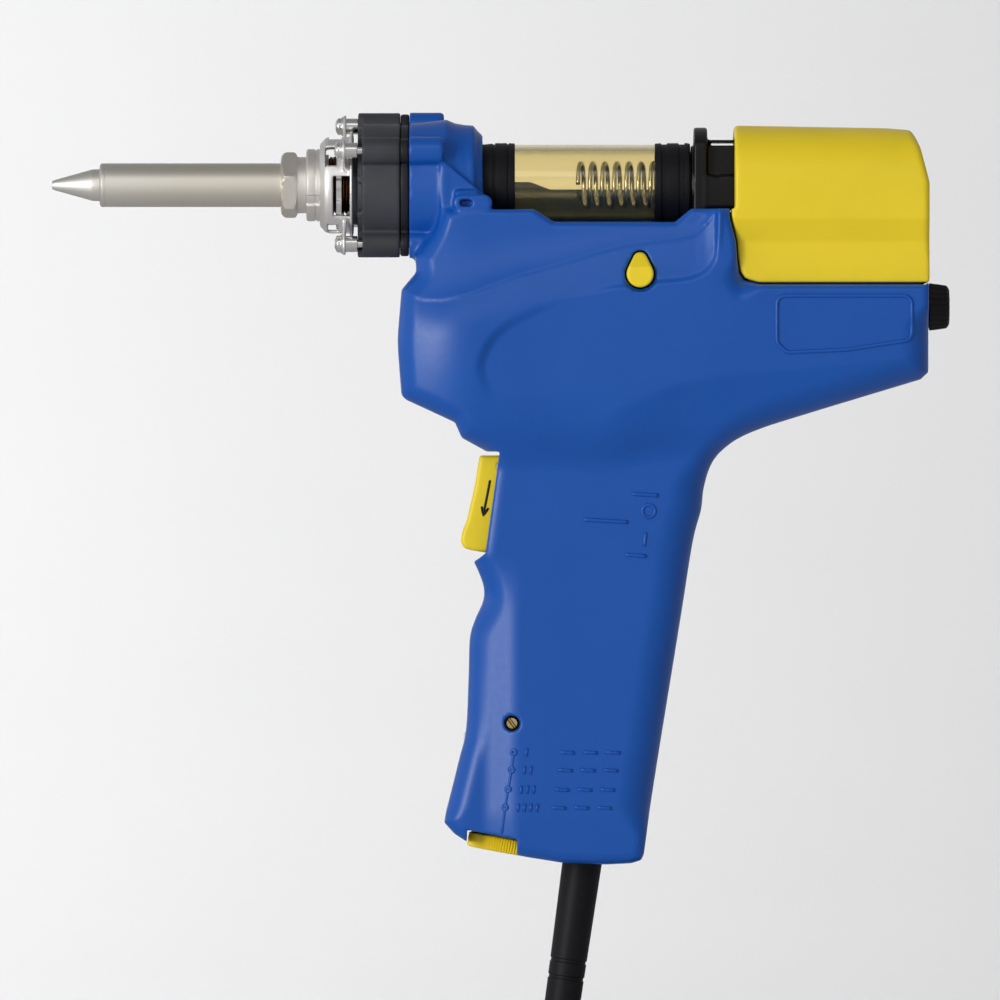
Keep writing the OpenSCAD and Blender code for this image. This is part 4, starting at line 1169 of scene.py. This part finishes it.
lead, turns, tail = coil_route_points()
cord_curve = bpy.data.curves.new("mains_lead", "CURVE")
cord_curve.dimensions = "3D"
cord_curve.bevel_depth = CORD_R * MM
cord_curve.bevel_resolution = 6
cord_curve.use_fill_caps = True
spline = cord_curve.splines.new("POLY")
smooth_lead = smooth_line(lead + turns[1:3], 5)[:-5]
smooth_tail = smooth_line(turns[-2:] + tail, 5)[5:]
dense = [tuple(p) for p in smooth_lead] + turns[2:-1] + [tuple(p) for p in smooth_tail]
spline.points.add(len(dense) - 1)
for point, place in zip(spline.points, dense):
    point.co = (*[c * MM for c in place], 1)
cord = bpy.data.objects.new("mains_lead", cord_curve)
finish_piece(cord, "gun", "rubber_black", ["power_cord", "cord_coil", "cord_tail"])

plug_place = Matrix.Translation(Vector(PLUG_END) * MM) @ Matrix.Rotation(math.radians(-75), 4, "Y")


def plug_field(x, y, z):
    """The plug hangs along its own -Z from the end of the lead: a ribbed boot and a body with side grips."""
    away = np.hypot(x, y)
    boot = common(away - np.interp(-z, [0, 14], [4.3, 5.5]), slab(z, -15, 0))
    rings = [common(slab(z, -3.9 - 2.7 * k, -2.8 - 2.7 * k), 3.9 + 0.2 * k - away) for k in range(4)]
    boot = without(boot, common(away - 3.3, -6 - z), *rings)
    low_part = smooth_max(np.abs(x) - 12.8, -7.9 - y, 1.5)
    roof = (y - 8.4) * 0.9 + np.abs(x) * 0.46 + 0.4
    body = smooth_max(smooth_max(low_part, roof, 3.0), y - 8.5, 1.5)
    waist = 1.6 * np.exp(-((z + 19) / 4.0) ** 2) + 1.5 * np.exp(-((z + 26) / 3.0) ** 2)
    body = rounded_both(body + waist * 0.8, slab(z, -40, -14), 1.0)
    grips = [common(np.abs(z + 20.5 + 2.4 * k) - 0.55, np.abs(y) - 4.2, 11.2 - np.abs(x)) for k in range(5)]
    return smooth_min(boot, without(body, *grips), 1.2)


plug = field_piece("mains_plug", (-13.2, -8.4, -40.4), (13.2, 9.2, 0.4), 0.4, plug_field)
plug.data.transform(plug_place)
finish_piece(plug, "gun", "rubber_black", ["power_plug"])


def pins_field(x, y, z):
    """Two flat blades with a hole near their ends, and a round pin between them."""
    blade = rounded_both(np.abs(np.abs(x) - 6.3) - 0.75,
                         box_distance(0 * x, y, z, (-1, -6, -58), (1, 0, -39.6), 0.6), 0.25)
    round_pin = rounded_both(np.hypot(x, y - 4) - 2.3, slab(z, -60, -39.6), 0.9)
    hole = np.hypot(y + 3, z + 54) - 1.1
    return union(without(blade, hole), round_pin)


pins = field_piece("mains_plug_pins", (-7.6, -6.5, -60.4), (7.6, 6.8, -39), 0.22, pins_field)
pins.data.transform(plug_place)
finish_piece(pins, "gun", "brass", ["plug_pins"])


def tie_strap():
    """A flat strap wound once round the coil's section, with its lock."""
    half_w, lo, hi, corner = 7.7, -4.2, 25.2, 3.0
    loop = round_corners([(r, y, corner) for r, y in ((-half_w, lo), (half_w, lo), (half_w, hi), (-half_w, hi))])
    points, faces = [], []
    count = len(loop)
    for i, (r, y) in enumerate(loop):
        before, after = Vector(loop[i - 1]), Vector(loop[(i + 1) % count])
        normal = (after - before).normalized()
        normal = Vector((normal.y, -normal.x))
        for across in (-2.4, 2.4):
            for out in (-0.5, 0.5):
                points.append((r + normal.x * out, y + normal.y * out, across))
    for i in range(count):
        j = (i + 1) % count
        for k, m in ((0, 1), (1, 3), (3, 2), (2, 0)):
            faces.append((4 * i + k, 4 * i + m, 4 * j + m, 4 * j + k))
    strap = mesh_piece("strap", points, faces)
    outward(strap)
    lock = mesh_piece("strap_lock", [(x, y, z) for x in (7.4, 10.4) for y in (8, 13.5) for z in (-3, 3)],
                      [(0, 1, 3, 2), (4, 6, 7, 5), (0, 4, 5, 1), (2, 3, 7, 6), (0, 2, 6, 4), (1, 5, 7, 3)])
    outward(lock)
    bevel(lock, 0.7)
    return joined("lead_tie", [strap, lock])


tie = tie_strap()
tie.data.transform(Matrix.Translation(Vector((COIL_X, 0, COIL_Z)) * MM)
                   @ Matrix.Rotation(math.radians(225), 4, "Y") @ Matrix.Translation(Vector((37.0, 0, 0)) * MM))
finish_piece(tie, "gun", "black_plastic", ["cord_tie"], sharp=40)

# ---------------------------------------------------------------- the rest keeps its CAD shape

for node, thing in frame["nodes"].items():
    slot_name = next(s["material_slot"] for s in frame["record"]["subparts"] if s["node"] == node)
    thing.data.materials.clear()
    thing.data.materials.append(MATERIALS[slot_name])

# ---------------------------------------------------------------- stage, light and camera

def area_light(name, place, aim, width, height, power):
    lamp = bpy.data.lights.new(name, "AREA")
    lamp.shape = "RECTANGLE"
    lamp.size, lamp.size_y = width, height
    lamp.energy = power
    thing = bpy.data.objects.new(name, lamp)
    thing.location = place
    thing.rotation_euler = (Vector(aim) - Vector(place)).to_track_quat("-Z", "Y").to_euler()
    bpy.context.scene.collection.objects.link(thing)
    return thing


def backdrop():
    """A pale floor that curves up into a wall behind the gun."""
    floor_z, back, radius, tall, half = -0.285, 7.6, 2.0, 6.0, 8.0
    line = [(-2.5, floor_z), (back - radius, floor_z)]
    line += [(back - radius + radius * math.sin(a), floor_z + radius - radius * math.cos(a))
             for a in np.linspace(0, math.pi / 2, 16)[1:]]
    line.append((back, tall))
    points = [(x / MM, p[0] / MM, p[1] / MM) for x in (-half, half) for p in line]
    count = len(line)
    faces = [(k, k + 1, count + k + 1, count + k) for k in range(count - 1)]
    sheet = mesh_piece("backdrop", points, faces)
    material, shader = new_material("backdrop_paper")
    mottle(material, shader, (0.80, 0.80, 0.80), 2, 0.01)
    shader.inputs["Roughness"].default_value = 0.9
    sheet.data.materials.append(material)
    smooth_faces(sheet)
    bpy.context.scene.collection.objects.link(sheet)
    return sheet


def studio_world():
    """Soft light from all round, brighter from below and from the nozzle's end."""
    world = bpy.data.worlds.new("studio")
    world.use_nodes = True
    background = world.node_tree.nodes["Background"]
    coords = add_node(world, "ShaderNodeTexCoord")
    parts = add_node(world, "ShaderNodeSeparateXYZ")
    link(world, coords.outputs["Generated"], parts.inputs["Vector"])
    height = add_node(world, "ShaderNodeMapRange", From_Min=-1)
    link(world, parts.outputs["Z"], height.inputs["Value"])
    ramp = add_node(world, "ShaderNodeValToRGB")
    levels = [(0.0, 0.62), (0.35, 0.60), (0.5, 0.58), (0.7, 0.36), (1.0, 0.24)]
    fill_ramp(ramp, [(place, (level, level, level * 1.03)) for place, level in levels])
    link(world, height.outputs["Result"], ramp.inputs["Fac"])
    link(world, ramp.outputs["Color"], background.inputs["Color"])
    side = add_node(world, "ShaderNodeMapRange", From_Min=-1, To_Min=1.5, To_Max=0.6)
    link(world, parts.outputs["X"], side.inputs["Value"])
    link(world, side.outputs["Result"], background.inputs["Strength"])
    return world


bpy.context.scene.world = studio_world()
bpy.context.scene.view_settings.view_transform = "Standard"

stage = [backdrop(),
         area_light("key", (-0.95, -1.15, 0.24), (0, 0, 0.05), 0.34, 0.66, 8.4),
         area_light("front_top", (-0.25, -1.35, 1.0), (0, 0, 0.05), 0.9, 0.5, 1.8),
         area_light("wall", (-1.6, 5.1, 1.7), (-0.4, 7.5, 0.1), 2.2, 1.2, 64)]

lens = bpy.data.cameras.new("camera")
lens.lens, lens.sensor_width = 500, 36
camera = bpy.data.objects.new("camera", lens)
camera.location = (-0.02024, -3.307, 0.03333)
camera.rotation_euler = (math.pi / 2, 0, 0)
bpy.context.scene.collection.objects.link(camera)
bpy.context.scene.camera = camera
